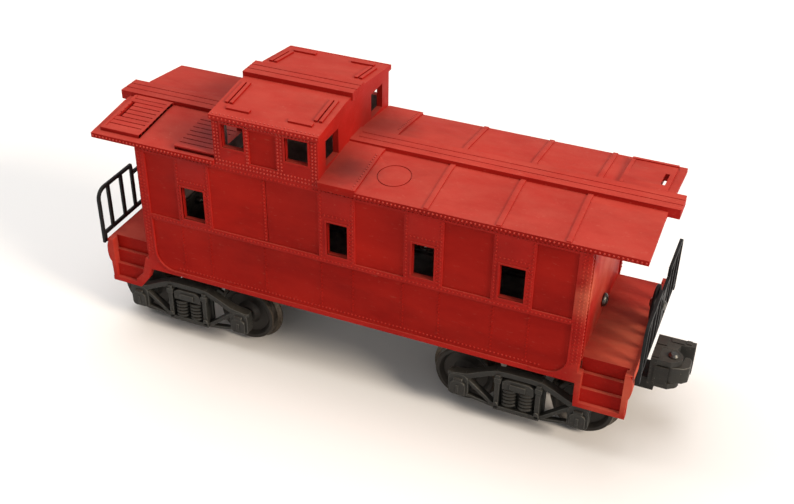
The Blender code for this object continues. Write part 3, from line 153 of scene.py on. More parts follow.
@dataclass(frozen=True)
class Finish:
    """A surface whose colour and gloss come from its stuff, its handling, the dust on it and, for some,
    painted light.

    Colours are sRGB hex, sizes millimetres and amounts 0 to 1. Real grit is finer than 0.1 mm, and is drawn
    0.2 to 0.5 mm coarse so that it shows.
    """

    name: str
    slot: Slot
    colour: str
    mottle: str
    mottle_size: float
    roughness: Span
    metallic: float = 0.0
    ior: float = 1.5
    dust: str = "#8d8478"
    dust_amount: float = 0.0
    dust_size: float = 3.0
    grime: str = "#1b1410"
    grime_amount: float = 0.0
    speck: str = "#c9b9a8"
    speck_amount: float = 0.0
    speck_size: float = 0.8
    stretch: Point = (1.0, 1.0, 1.0)
    grit_size: float = 0.35
    grit_depth: float = 0.02
    specular: float = 0.5
    stains_and_light: tuple[StainAndLight, ...] = ()

    def layers(self) -> list[Layer]:
        """The grime, scuffs and dust that this finish has, in the order that they lie."""
        dusting = (self.dust_amount * 0.45, self.dust_amount)
        made = [
            Layer(self.grime, self.mottle_size * 2.2, (0.5, 0.72), (0.0, self.grime_amount)),
            Layer(self.speck, self.speck_size, (0.63, 0.74), (0.0, self.speck_amount), 3.0, 0.55),
            Layer(self.dust, self.dust_size, (0.3, 0.7), dusting, settles=True),
        ]
        return [layer for layer in made if layer.amounts[1]]

    def build(self) -> bpy.types.Material:
        """Makes the material.

        Returns:
            The new material.
        """
        made = bpy.data.materials.new(self.name)
        made.use_nodes = True
        tree = made.node_tree
        shader = tree.nodes["Principled BSDF"]
        where = add_node(tree, "ShaderNodeTexCoord")
        whole = {"Vector": where.outputs["Object"]}
        stretched = add_node(tree, "ShaderNodeMapping", values={"Scale": self.stretch}, links=whole)
        place = stretched.outputs["Vector"]
        values = {"Scale": 1 / (self.mottle_size * MM), "Detail": 5.0, "Roughness": 0.62}
        mottling = add_node(tree, "ShaderNodeTexNoise", values=values, links={"Vector": place})
        shades = mottling.outputs["Fac"]
        values = {"From Min": 0.34, "From Max": 0.66}
        share = add_node(tree, "ShaderNodeMapRange", values=values, links={"Value": shades}).outputs["Result"]
        values = {6: linear(self.colour), 7: linear(self.mottle)}
        colour = add_node(tree, "ShaderNodeMix", {"data_type": "RGBA"}, values, {0: share}).outputs[2]
        for layer in self.layers():
            colour = self.layered(tree, where, place, colour, layer)
        for tint_patch in self.stains_and_light:
            colour = self.stained_and_lit(tree, where, shades, colour, tint_patch)
        least, most = self.roughness
        values = {"From Min": 0.3, "From Max": 0.7, "To Min": least, "To Max": most}
        gloss = add_node(tree, "ShaderNodeMapRange", values=values, links={"Value": shades})
        values = {"Scale": 1 / (self.grit_size * MM), "Detail": 2.0}
        grit = add_node(tree, "ShaderNodeTexNoise", values=values, links=whole)
        values = {"Strength": 0.6, "Distance": self.grit_depth * MM}
        bump = add_node(tree, "ShaderNodeBump", values=values, links={"Height": grit.outputs["Fac"]})
        tree.links.new(colour, shader.inputs["Base Color"])
        tree.links.new(gloss.outputs["Result"], shader.inputs["Roughness"])
        tree.links.new(bump.outputs["Normal"], shader.inputs["Normal"])
        shader.inputs["Metallic"].default_value = self.metallic
        if not self.metallic:
            shader.inputs["IOR"].default_value = self.ior
        shader.inputs["Specular IOR Level"].default_value = self.specular
        return made

    def layered(
        self,
        tree: bpy.types.NodeTree,
        where: bpy.types.Node,
        place: bpy.types.NodeSocket,
        colour: bpy.types.NodeSocket,
        layer: Layer,
    ) -> bpy.types.NodeSocket:
        """Lays one cloudy layer over the colour.

        Args:
            tree: the node tree.
            where: the coordinate node.
            place: the stretched coordinates.
            colour: the colour so far.
            layer: the layer. One that settles lies only on what faces up.

        Returns:
            The new colour output.
        """
        values = {"Scale": 1 / (layer.size * MM), "Detail": layer.detail, "Roughness": layer.roughness}
        cloud = add_node(tree, "ShaderNodeTexNoise", values=values, links={"Vector": place})
        low, high = layer.limits
        least, most = layer.amounts
        values = {"From Min": low, "From Max": high, "To Min": least, "To Max": most}
        links = {"Value": cloud.outputs["Fac"]}
        share = add_node(tree, "ShaderNodeMapRange", values=values, links=links).outputs["Result"]
        if layer.settles:
            parts = add_node(tree, "ShaderNodeSeparateXYZ", links={0: where.outputs["Normal"]})
            values = {"From Min": 0.25, "From Max": 0.95}
            links = {"Value": parts.outputs["Z"]}
            facing = add_node(tree, "ShaderNodeMapRange", values=values, links=links).outputs["Result"]
            links = {0: facing, 1: share}
            share = add_node(tree, "ShaderNodeMath", {"operation": "MULTIPLY"}, links=links).outputs[0]
        values = {7: linear(layer.colour)}
        links = {0: share, 6: colour}
        return add_node(tree, "ShaderNodeMix", {"data_type": "RGBA"}, values, links).outputs[2]

    def stained_and_lit(
        self,
        tree: bpy.types.NodeTree,
        where: bpy.types.Node,
        shades: bpy.types.NodeSocket,
        colour: bpy.types.NodeSocket,
        tint_patch: StainAndLight,
    ) -> bpy.types.NodeSocket:
        """Tints the colour round a place, for dirt, painted shade and painted light.

        Args:
            tree: the node tree.
            where: the coordinate node.
            shades: the mottling, which breaks up the patch's edge.
            colour: the colour so far.
            tint_patch: the patch.

        Returns:
            The new colour output.
        """
        values = {1: Vector(tint_patch.place) * MM + CAR.origin}
        links = {0: where.outputs["Object"]}
        distance = add_node(tree, "ShaderNodeVectorMath", {"operation": "DISTANCE"}, values, links)
        radius = tint_patch.radius * MM
        values = {1: -radius, 2: radius * 0.5}
        blurred = add_node(tree, "ShaderNodeMath", {"operation": "MULTIPLY_ADD"}, values, {0: shades})
        links = {0: distance.outputs["Value"], 1: blurred.outputs[0]}
        reach = add_node(tree, "ShaderNodeMath", {"operation": "SUBTRACT"}, links=links)
        settings = {"interpolation_type": "SMOOTHSTEP"}
        values = {"From Min": 0.0, "From Max": radius, "To Min": tint_patch.strength, "To Max": 0.0}
        share = add_node(tree, "ShaderNodeMapRange", settings, values, {"Value": reach.outputs[0]})
        values = {7: linear(tint_patch.colour)}
        links = {0: share.outputs["Result"], 6: colour}
        return add_node(tree, "ShaderNodeMix", {"data_type": "RGBA"}, values, links).outputs[2]


@dataclass(frozen=True)
class ClearGlass:
    """Blown lamp glass: clear, smooth and thin, so it shows as bright rims and small highlights."""

    name: str = "blown_lamp_glass"
    tint: str = "#f4f1e6"
    roughness: float = 0.04
    ior: float = 1.47

    def build(self) -> bpy.types.Material:
        """Makes the material and returns it."""
        made = bpy.data.materials.new(self.name)
        made.use_nodes = True
        shader = made.node_tree.nodes["Principled BSDF"]
        shader.inputs["Base Color"].default_value = linear(self.tint)
        shader.inputs["Roughness"].default_value = self.roughness
        shader.inputs["IOR"].default_value = self.ior
        shader.inputs["Transmission Weight"].default_value = 1.0
        return made


# Dark patches on the roof round the cupola; paler patches on both ends' near steps; and at the coupler end,
# brown dust on the platform, dust and painted light on the wall, a painted highlight on the near corner post
# and a painted shadow of the brake wheel on the platform.
BODY_STAINS_AND_LIGHT = (
    StainAndLight((-53.0, -16.0, 78.0), 16.0, 0.7, "#4a1f22"),
    StainAndLight((-56.0, 14.0, 79.0), 26.0, 0.4),
    StainAndLight((-4.0, 10.0, 80.0), 17.0, 0.55),
    StainAndLight((-4.0, -18.0, 79.0), 14.0, 0.7),
    # Brown dust and painted light: the coupler end's wall and platform made paler and more orange where the
    # warm key lamp falls.
    StainAndLight((84.0, 0.0, 54.0), 26.0, 0.42, "#b5614a"),
    StainAndLight((87.0, -20.0, 28.0), 19.0, 0.6, "#c9684e"),
    # Painted highlight: the coupler end's near corner post made paler where the key lamp catches it.
    StainAndLight((80.0, -25.0, 58.0), 13.0, 0.7, "#cf7458"),
    StainAndLight((-86.0, -22.0, 30.0), 14.0, 0.35, "#c4604c"),
    StainAndLight((86.0, -4.0, 34.0), 16.0, 0.5, "#a3654c"),
    # Painted shadow: a dark patch on the coupler end's platform, under the brake wheel.
    StainAndLight((77.0, -8.0, 37.0), 11.0, 0.45),
)


class Look(Enum):
    """The caboose's finishes."""

    # Dyed polystyrene, injection moulded: red right through, with a satin skin, handled and dusty on top.
    MOULDING = Finish(
        "red_polystyrene_moulded", Slot.BODY, "#9e1b13", "#921610", 9.0, (0.5, 0.66), ior=1.59,
        dust="#b35848", dust_amount=0.4, dust_size=7.0, grime="#6a1510", grime_amount=0.3,
        speck="#b8705f", speck_amount=0.2, speck_size=0.9, stretch=(0.5, 1.0, 1.0), grit_size=0.5,
        grit_depth=0.012, specular=0.06, stains_and_light=BODY_STAINS_AND_LIGHT,
    )
    # The same moulding on its rounded arrises and on the roof's rivets: paler and a little smoother, partly
    # rubbed by handling and partly a painted highlight where light catches them.
    MOULDING_EDGE = Finish(
        "red_polystyrene_rubbed_edge_and_highlight", Slot.BODY, "#ad3024", "#9e231a", 2.5, (0.38, 0.5), ior=1.59,
        dust="#c9705e", dust_amount=0.4, grit_size=0.5, grit_depth=0.01, specular=0.15, stains_and_light=BODY_STAINS_AND_LIGHT,
    )
    # The same moulding on the sunk panels, the step risers, the eaves' faces and the skirt's rivets: a deeper
    # red that is painted shade, with brown dust in the grain.
    MOULDING_PANEL = Finish(
        "red_polystyrene_painted_shade", Slot.BODY, "#97180f", "#86120c", 11.0, (0.55, 0.7), ior=1.59,
        grime="#5a120e", grime_amount=0.35, speck="#a9604f", speck_amount=0.18, speck_size=0.8,
        stretch=(0.4, 1.0, 1.0), grit_size=0.5, grit_depth=0.012, specular=0.04,
    )
    # The moulding's hollow side: matt, and painted a pale grey-pink in place of its red, as painted light for
    # the light that comes in at the windows.
    MOULDING_INSIDE = Finish(
        "polystyrene_inside_painted_light", Slot.BODY, "#b39c98", "#8c7570", 6.0, (0.7, 0.85), ior=1.59,
    )
    # Sheet steel, blanked and chemically blacked: flat blue-black with a faint sheen.
    RAILING = Finish(
        "blacked_sheet_steel", Slot.RAIL, "#131517", "#1d1f21", 1.6, (0.5, 0.66), metallic=0.3,
        dust="#57534c", dust_amount=0.12, dust_size=1.5, grit_size=0.25, grit_depth=0.008, specular=0.2,
    )
    # Zinc alloy, die cast and blackened: a slightly rough charcoal skin with brown dust in it.
    CASTING = Finish(
        "blackened_zinc_casting", Slot.CASTING, "#242422", "#2f2e2b", 2.2, (0.5, 0.72), metallic=0.25,
        dust="#5f564b", dust_amount=0.35, dust_size=2.0, grime="#171512", grime_amount=0.5,
        speck="#6b665c", speck_amount=0.5, speck_size=0.7, grit_size=0.4, grit_depth=0.03,
        specular=0.35,
    )
    # The same casting where its blacking has worn through on the arrises: dull grey metal.
    CASTING_EDGE = Finish(
        "zinc_casting_worn_edge", Slot.CASTING, "#4a4a46", "#2c2c2a", 0.9, (0.42, 0.6), metallic=0.5,
        dust="#827c70", dust_amount=0.4, dust_size=1.2, grit_size=0.4, grit_depth=0.02,
    )
    # Sintered iron, blackened: close-grained dark wheel faces.
    WHEEL_FACE = Finish(
        "blackened_sintered_iron", Slot.WHEEL, "#201d1a", "#2b2723", 2.0, (0.45, 0.62), metallic=0.5,
        dust="#6a6258", dust_amount=0.3, dust_size=1.8, grit_size=0.3, grit_depth=0.02,
    )
    # The same iron where it runs on the rail: bare grey metal under brown track grime.
    WHEEL_TREAD = Finish(
        "sintered_iron_run_tread", Slot.WHEEL, "#5c5348", "#342c24", 1.4, (0.28, 0.5), metallic=0.8,
        speck="#a89d8c", speck_amount=0.4, speck_size=0.6, stretch=(1.0, 3.0, 1.0), grit_size=0.3,
        grit_depth=0.015,
    )
    # Mild steel, turned or stamped and nickel plated long ago: grey, faintly brushed and dull.
    STEEL = Finish(
        "dull_plated_steel", Slot.STEEL, "#6f6e6b", "#5a5955", 1.8, (0.3, 0.45), metallic=1.0,
        dust="#5d564c", dust_amount=0.25, dust_size=1.5, grit_size=0.2, grit_depth=0.006,
    )
    # Sheet steel blacked and oiled, under the car: dark with handled sheen.
    FLOOR_STEEL = Finish(
        "oiled_sheet_steel", Slot.STEEL, "#7b7772", "#56534f", 5.0, (0.4, 0.6), metallic=0.6,
        grime="#1a1816", grime_amount=0.5, grit_size=0.3, grit_depth=0.01,
    )
    # Brass, drawn and left bare: tarnished to a brown gold.
    BRASS = Finish(
        "tarnished_brass", Slot.BRASS, "#9c7b45", "#7a5f36", 1.5, (0.28, 0.45), metallic=1.0,
        grit_size=0.2, grit_depth=0.006,
    )
    # Vulcanised fibre, punched from sheet: matt red-brown with a faint felted grain.
    FIBRE = Finish(
        "vulcanised_fibre", Slot.FIBRE, "#4a2c1e", "#3c2419", 1.2, (0.65, 0.8),
        grit_size=0.25, grit_depth=0.02,
    )
    GLASS = ClearGlass()

    def material(self) -> bpy.types.Material:
        """This finish's one material, made the first time that it is asked for."""
        return bpy.data.materials.get(self.value.name) or self.value.build()


# ---------------------------------------------------------------- mesh work


@dataclass(frozen=True)
class CarFrame:
    """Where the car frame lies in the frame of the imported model, from the body shell's box."""

    origin: Vector
    half_length: float
    half_width: float
    top: float

    @classmethod
    def measured(cls) -> "CarFrame":
        """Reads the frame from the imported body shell."""
        low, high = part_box("body_shell")
        middle = (low.x + high.x) / 2
        return cls(Vector((middle, 0.0, 0.0)), (high.x - middle) / MM, high.y / MM, high.z / MM)

    def centre_of(self, node: str) -> Vector:
        """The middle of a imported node's box, in millimetres of the car frame."""
        low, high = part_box(node)
        return ((low + high) / 2 - self.origin) / MM


CAR = CarFrame.measured()


def ordered(first: float, second: float) -> Span:
    """Two values as a span, the lower one first."""
    return (min(first, second), max(first, second))


def spot_on(axis: str, along: float, across: float, up: float) -> Vector:
    """A point from its distance along an axis and its two coordinates across it, in cyclic order."""
    spot = Vector((0.0, 0.0, 0.0))
    for place, value in zip(AXES[axis], (across, up, along)):
        spot[place] = value
    return spot


def around(count: int) -> list[Span]:
    """The cosine and sine of a number of even steps round a circle."""
    angles = [2 * math.pi * step / count for step in range(count)]
    return [(math.cos(angle), math.sin(angle)) for angle in angles]


def arc(centre: Span, radius: float, start: float, end: float, steps: int) -> list[Span]:
    """Points along an arc.

    Args:
        centre: the middle of its circle.
        radius: the circle's radius.
        start: the angle in degrees where it starts.
        end: the angle in degrees where it ends.
        steps: how many straight pieces it has.

    Returns:
        The points, one more than its pieces.
    """
    points = []
    for step in range(steps + 1):
        angle = math.radians(start + (end - start) * step / steps)
        points.append((centre[0] + radius * math.cos(angle), centre[1] + radius * math.sin(angle)))
    return points


class Work:
    """Closed shapes gathered in one mesh, in millimetres."""

    def __init__(self) -> None:
        """Starts with nothing."""
        self.mesh = bmesh.new()

    def skin(self, rings: Sequence[Sequence], closed: bool = False, looks: Sequence[int] = ()) -> None:
        """Joins rings of corners with bands of faces.

        Args:
            rings: each ring's corners, all in the same order.
            closed: whether the last ring joins the first one. If not, both ends get a face.
            looks: the material place of each band, or nothing for the first material.
        """
        pairs = list(zip(rings, rings[1:]))
        if closed:
            pairs.append((rings[-1], rings[0]))
        else:
            self.mesh.faces.new(rings[0])
            self.mesh.faces.new(rings[-1])
        for band, (low, high) in enumerate(pairs):
            for index in range(len(low)):
                after = (index + 1) % len(low)
                face = self.mesh.faces.new((low[index], low[after], high[after], high[index]))
                face.material_index = looks[band] if looks else 0

    def block(self, x: Span, y: Span, z: Span) -> None:
        """Adds a box between two values on each axis."""
        self.prism([(y[0], z[0]), (y[1], z[0]), (y[1], z[1]), (y[0], z[1])], "X", x)

    def prism(self, outline: Sequence[Span], axis: str, span: Span) -> None:
        """Adds an outline extruded along an axis.

        Args:
            outline: its corners across the axis, in cyclic order of the axes.
            axis: X, Y or Z.
            span: where it starts and ends on the axis.
        """
        rings = []
        for along in span:
            rings.append([self.mesh.verts.new(spot_on(axis, along, *corner)) for corner in outline])
        self.skin(rings)

    def side(self, outline: Sequence[Span], span: Span) -> None:
        """Adds an outline of (x, z) corners extruded along Y."""
        self.prism([(up, along) for along, up in outline], "Y", span)

    def turned(
        self,
        profile: Sequence[Span],
        axis: str,
        centre: Sequence[float],
        segments: int = 32,
        bored: bool = False,
        looks: Sequence[int] = (),
    ) -> None:
        """Adds a profile turned about an axis.

        Args:
            profile: points of (distance along the axis, radius).
            axis: X, Y or Z.
            centre: a point on the axis.
            segments: how many sides the round has.
            bored: whether the profile closes on itself, round a hole.
            looks: the material place of the band after each profile point.
        """
        middle = Vector(centre)
        rings = []
        for along, radius in profile:
            spots = [spot_on(axis, along, radius * cos, radius * sin) for cos, sin in around(segments)]
            rings.append([self.mesh.verts.new(spot + middle) for spot in spots])
        self.skin(rings, bored, looks)

    def tube(
        self, path: Sequence[Sequence[float]], radius: float, sides: int = 8, closed: bool = False
    ) -> None:
        """Adds a round bar along a path.

        Args:
            path: the points of its middle line.
            radius: the bar's radius.
            sides: how many sides the round has.
            closed: whether the path runs back to its start.
        """
        points = [Vector(point) for point in path]
        count = len(points)
        rings = []
        normal = Vector((0.0, 0.0, 1.0))
        for index, point in enumerate(points):
            ahead = points[(index + 1) % count] if closed or index + 1 < count else point
            behind = points[index - 1] if closed or index else point
            along = (ahead - behind).normalized()
            if abs(along.dot(normal)) > 0.95:
                normal = Vector((1.0, 0.0, 0.0)) if abs(along.x) < 0.9 else Vector((0.0, 1.0, 0.0))
            normal = (normal - along * along.dot(normal)).normalized()
            across = along.cross(normal)
            offsets = [(normal * cos + across * sin) * radius for cos, sin in around(sides)]
            rings.append([self.mesh.verts.new(point + offset) for offset in offsets])
        self.skin(rings, closed)

    def strap(self, path: Sequence[Span], thickness: float, span: Span) -> None:
        """Adds a flat bar on edge.

        Args:
            path: the (x, z) points of its middle line.
            thickness: how thick it is across that line.
            span: where it starts and ends along Y.
        """
        points = [Vector(point) for point in path]
        upper = []
        lower = []
        for index, point in enumerate(points):
            before = (point - points[index - 1]).normalized() if index else None
            after = (points[index + 1] - point).normalized() if index + 1 < len(points) else None
            along = ((before or after) + (after or before)).normalized()
            across = Vector((-along.y, along.x))
            spread = thickness / 2 / max(0.5, across.dot(Vector((-(before or after).y, (before or after).x))))
            upper.append(tuple(point + across * spread))
            lower.append(tuple(point - across * spread))
        self.side(upper + lower[::-1], span)

    def rivet(self, spot: Vector, normal: Vector, radius: float = 0.33, height: float = 0.3) -> None:
        """Adds a small domed rivet head standing on a surface.

        Args:
            spot: its middle on the surface.
            normal: the way that the surface faces.
            radius: the head's radius.
            height: the head's height.
        """
        side = normal.orthogonal().normalized()
        other = normal.cross(side)
        rings = []
        for reach, rise in ((1.0, -0.15), (1.0, 0.05), (0.7, 0.75)):
            base = spot + normal * height * rise
            offsets = [(side * cos + other * sin) * radius * reach for cos, sin in around(7)]
            rings.append([self.mesh.verts.new(base + offset) for offset in offsets])
        self.skin(rings)

    def rivets(
        self, start: Sequence[float], end: Sequence[float], pitch: float, normal: Sequence[float]
    ) -> None:
        """Adds a row of rivet heads.

        Args:
            start: the first head's place.
            end: the last head's place.
            pitch: the wanted spacing.
            normal: the way that the surface faces.
        """
        first = Vector(start)
        last = Vector(end)
        facing = Vector(normal).normalized()
        count = max(1, round((last - first).length / pitch))
        for step in range(count + 1):
            self.rivet(first.lerp(last, step / count), facing)

    def copied(self, node: str) -> None:
        """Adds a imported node's own solid, welded and with its flat faces whole."""
        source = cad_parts[node]
        before = len(self.mesh.verts)
        self.mesh.from_mesh(source.data)
        self.mesh.verts.ensure_lookup_table()
        fresh = self.mesh.verts[before:]
        for vert in fresh:
            vert.co = (vert.co - CAR.origin) / MM
        bmesh.ops.remove_doubles(self.mesh, verts=fresh, dist=0.002)
        for face in self.mesh.faces:
            face.material_index = 0
        bmesh.ops.dissolve_limit(
            self.mesh, angle_limit=math.radians(0.5), verts=self.mesh.verts, edges=self.mesh.edges
        )

    def moved(self, matrix: Matrix) -> None:
        """Moves everything in the work by a matrix."""
        bmesh.ops.transform(self.mesh, matrix=matrix, verts=self.mesh.verts)

    def joined(self, other: "Work") -> None:
        """Takes in another work's faces as they are."""
        mesh = bpy.data.meshes.new("joined")
        other.mesh.to_mesh(mesh)
        other.mesh.free()
        self.mesh.from_mesh(mesh)
        bpy.data.meshes.remove(mesh)

    def as_mesh(self, name: str) -> bpy.types.Mesh:
        """A Blender mesh of the work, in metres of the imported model's frame; the work is used up."""
        bmesh.ops.recalc_face_normals(self.mesh, faces=self.mesh.faces)
        bmesh.ops.transform(
            self.mesh, matrix=Matrix.Translation(CAR.origin) @ Matrix.Scale(MM, 4), verts=self.mesh.verts
        )
        made = bpy.data.meshes.new(name)
        self.mesh.to_mesh(made)
        self.mesh.free()
        return made

    def cut(self, cutter: "Work") -> None:
        """Cuts another work's closed shapes, which don't touch each other, out of this one.

        Args:
            cutter: the shapes, used up here.
        """
        target = bpy.data.objects.new("target", self.as_mesh("target"))
        tool = bpy.data.objects.new("tool", cutter.as_mesh("tool"))
        for thing in (target, tool):
            bpy.context.scene.collection.objects.link(thing)
        modifier = target.modifiers.new("cut", "BOOLEAN")
        modifier.operation = "DIFFERENCE"
        modifier.solver = "EXACT"
        modifier.object = tool
        bpy.context.view_layer.update()
        graph = bpy.context.evaluated_depsgraph_get()
        result = bpy.data.meshes.new_from_object(target.evaluated_get(graph))
        self.mesh = bmesh.new()
        self.mesh.from_mesh(result)
        back = Matrix.Scale(1 / MM, 4) @ Matrix.Translation(-CAR.origin)
        bmesh.ops.transform(self.mesh, matrix=back, verts=self.mesh.verts)
        for thing in (target, tool):
            data = thing.data
            bpy.data.objects.remove(thing)
            bpy.data.meshes.remove(data)
        bpy.data.meshes.remove(result)


def dressed(
    name: str,
    work: Work,
    body: str,
    looks: Sequence[Look],
    nodes: Iterable[str] = (),
    bevel: float = 0.0,
    smooth: float = 40.0,
) -> bpy.types.Object:
    """Makes a visible piece from a work.

    Args:
        name: the piece's name.
        work: its shapes, used up here.
        body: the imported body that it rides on.
        looks: its finishes by material place. With a bevel, the bevel takes the last one.
        nodes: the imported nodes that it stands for.
        bevel: the width of its rounded edges in millimetres.
        smooth: the angle in degrees under which faces shade as one.

    Returns:
        The new object.
    """
    mesh = work.as_mesh(name)
    made = bpy.data.objects.new(name, mesh)
    bpy.context.scene.collection.objects.link(made)
    for look in looks:
        mesh.materials.append(look.material())
    mesh.shade_smooth()
    mesh.set_sharp_from_angle(angle=math.radians(smooth))
    if bevel:
        rounding = made.modifiers.new("rounded_edges", "BEVEL")
        rounding.width = bevel * MM
        rounding.segments = 2
        rounding.limit_method = "ANGLE"
        rounding.angle_limit = math.radians(32)
        rounding.material = len(looks) - 1 if len(looks) > 1 else -1
    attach(made, body)
    if nodes:
        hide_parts(*nodes)
    LOG.info("%s: %d faces, rides on %s", name, len(mesh.polygons), body)
    return made


def recoated(node: str, look: Look) -> None:
    """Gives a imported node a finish."""
    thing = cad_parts[node]
    thing.data.materials.clear()
    thing.data.materials.append(look.material())
    LOG.info("%s: finished in %s", node, look.value.name)


# ---------------------------------------------------------------- body


@dataclass
class CarBody:
    """The one-piece moulding, with its planking, sunk panels, rims and rivets."""

    length: float = 150.2
    width: float = 54.0
    wall_top: float = 75.0
    wall: float = 2.0
    eave_top: float = 76.7
    crown: float = 79.2
    ridge_half: float = 8.0
    board_top: float = 80.7
    belt: float = 48.2
    rivet_pitch: float = 1.3
    bays: tuple[Span, ...] = ((-61.0, -48.5), (-10.3, 2.0), (18.2, 30.8), (46.3, 59.1))
    windows: tuple[Span, ...] = ((-59.2, -51.0), (-7.5, -0.5), (20.9, 28.1), (48.6, 56.5))
    window_top: float = 63.5
    skirt_columns: tuple[float, ...] = (-60.6, -50.2, -30.0, -9.9, 1.0, 18.0, 30.0, 47.3, 58.6)
    panel_seam: float = -28.4
    cupola: Span = (-45.7, -9.8)
    cupola_top: float = 91.0
    cupola_eave: float = 92.7
    cupola_crown: float = 95.2
    lookouts: tuple[Span, ...] = ((-42.5, -34.8), (-20.8, -13.1))
    saddle_end: float = 2.5
    saddle_height: float = 0.8
    roof_end: float = 90.9
    porch: float = 35.0
    groove: float = 0.36
    groove_depth: float = 0.4
    plank_pitch: float = 2.15
    plank_rise: float = 0.9
    panel_sink: float = 0.4
    cupola_panel: Span = (-33.1, -23.9)
    cupola_overhang: float = 0.6
    ring_place: Span = (10.3, -15.9)
    ring_radii: Span = (5.05, 5.4)
    half_length: float = field(init=False)
    half_width: float = field(init=False)
    roof_half: float = field(init=False)

    def __post_init__(self) -> None:
        """Works out the half sizes."""
        self.half_length = self.length / 2
        self.half_width = self.width / 2
        self.roof_half = CAR.half_width

    def build(self) -> None:
        """Builds the moulding and the rivets on it."""
        shell = Work()
        shell.copied("body_shell")
        shell.cut(self.plank_grooves())
        shell.cut(self.skirt_recess())
        self.add_trim(shell)
        self.add_plank_ends(shell)
        self.paint_inside_light(shell)
        self.paint_shade(shell)
        # Inside, painted light; sunk panels, painted shade; rounded edges, partly a painted highlight.
        dressed(
            "car_body_moulding",
            shell,
            "car",
            (Look.MOULDING, Look.MOULDING_INSIDE, Look.MOULDING_PANEL, Look.MOULDING_EDGE),
            ("body_shell",),
            bevel=0.2,
        )
        walls = Work()
        skirts = Work()
        tops = Work()
        for side in (-1, 1):
            self.rivet_skirt(skirts, side)
            self.rivet_side(walls, side)
            self.rivet_cupola(tops, side)
            self.rivet_roof(tops, side)
        self.rivet_ends(tops)
        dressed("car_body_wall_rivets", walls, "car", (Look.MOULDING,))
        # The skirt's rivets are painted in shade, like the sunk panel that they stand on.
        dressed("car_body_skirt_rivets", skirts, "car", (Look.MOULDING_PANEL,))
        # The roof's rivets take the paler look: partly a painted highlight where light catches them.
        dressed("car_body_roof_rivets", tops, "car", (Look.MOULDING_EDGE,))

    @property
    def roof_slope(self) -> float:
        """How far the main roof falls for each millimetre across."""
        return (self.crown - self.eave_top) / (self.roof_half - self.ridge_half)

    @property
    def cupola_slope(self) -> float:
        """How far the cupola's roof falls for each millimetre across."""
        eave = self.half_width + self.cupola_overhang
        return (self.cupola_crown - self.cupola_eave) / (eave - self.ridge_half)

    def roof_at(self, across: float) -> float:
        """The main roof's height at a distance from the middle."""
        return self.crown - max(0.0, abs(across) - self.ridge_half) * self.roof_slope

    def cupola_roof_at(self, across: float) -> float:
        """The cupola roof's height at a distance from the middle."""
        return self.cupola_crown - max(0.0, abs(across) - self.ridge_half) * self.cupola_slope

    def wall_span(self, side: int, inner: float, outer: float) -> Span:
        """The span across the car between two distances out from one side wall's face."""
        return ordered(side * (self.half_width + inner), side * (self.half_width + outer))

    def plank_grooves(self) -> Work:
        """The grooves between the planks of the boards on the roof, and the fine ring moulded beside them."""
        cutter = Work()
        half = self.groove / 2
        rear, front = self.cupola
        board_runs = (
            ((-CAR.half_length - 1, rear - 1.8), self.board_top),
            ((front + 1.8, CAR.half_length + 1), self.board_top),
            ((rear - 3, front + 3), CAR.top),
        )
        for run, top in board_runs:
            for across in (-1.5, 1.5):
                cutter.block(run, (across - half, across + half), (top - self.groove_depth, top + 1))
        self.groove_slope(cutter, (-(self.roof_end - 1.6), -(self.roof_end - 17.9)), -1, 6.9)
        self.groove_slope(cutter, (rear - 15.0, rear - 0.2), -1, 10.6)
        inner, outer = self.ring_radii
        profile = [(-0.35, inner), (-0.35, outer), (1.0, outer), (1.0, inner)]
        ring = Work()
        ring.turned(profile, "Z", (0.0, 0.0, 0.0), 40, bored=True)
        along, across = self.ring_place
        tilt = Matrix.Rotation(math.atan(self.roof_slope), 4, "X")
        ring.moved(Matrix.Translation((along, across, self.roof_at(across))) @ tilt)
        cutter.joined(ring)
        return cutter

    def groove_slope(self, cutter: Work, span: Span, side: int, first: float) -> None:
        """Adds the grooves that part one slope's planks, out to near the eave.

        Args:
            cutter: what is cut away.
            span: where the grooves start and end along the car.
            side: which slope, -1 or 1.
            first: the innermost groove's distance from the middle.
        """
        half = self.groove / 2
        across = first
        while across < self.half_width - 2.2:
            top = self.roof_at(across) + self.plank_rise
            width = ordered(side * (across - half), side * (across + half))
            cutter.block(span, width, (top - 0.45 - self.roof_slope * half, top + 1))
            across += self.plank_pitch

    def skirt_recess(self) -> Work:
        """What the sides lose: a shallow lower panel with rounded corners, a seam and the cupola's panel."""
        cutter = Work()
        reach = 71.7
        low = 28.7
        radius = 6.5
        outline = [(-reach, self.belt), *arc((radius - reach, low + radius), radius, 180, 270, 8)]
        outline += [*arc((reach - radius, low + radius), radius, 270, 360, 8), (reach, self.belt)]
        seam = (self.panel_seam - 0.15, self.panel_seam + 0.15)
        for side in (-1, 1):
            sunk = self.wall_span(side, -self.panel_sink, 1.0)
            cutter.side(outline, sunk)
            cutter.block(seam, self.wall_span(side, -0.75, 1.0), (50.3, self.wall_top - 1.8))
            cutter.block(self.cupola_panel, sunk, (77.8, self.cupola_top - 1.4))
        return cutter

    def add_trim(self, shell: Work) -> None:
        """Adds what stands proud of the shell: window frames, roof corner strips and end wall ribs."""
        for side in (-1, 1):
            face = self.wall_span(side, -0.5, 0.22)
            for window in self.windows:
                self.add_frame(shell, window, (51.5, self.window_top), face)
            for lookout in self.lookouts:
                self.add_frame(shell, lookout, (81.8, 89.9), face)
            self.add_rims(shell, self.wall_span(side, -0.6, 0.2))
            for end in (-1, 1):
                self.add_corner_strips(shell, end, side)
                root = end * (self.half_length - 0.5)
                rib = ordered(root, end * (self.half_length + 0.5))
                shell.block(rib, ordered(side * 23.4, side * 24.3), (self.porch - 0.4, self.wall_top - 2.2))
                post = ordered(root, end * (self.half_length + 0.25))
                shell.block(post, ordered(side * 25.6, side * 26.9), (self.porch - 0.5, self.wall_top + 0.3))

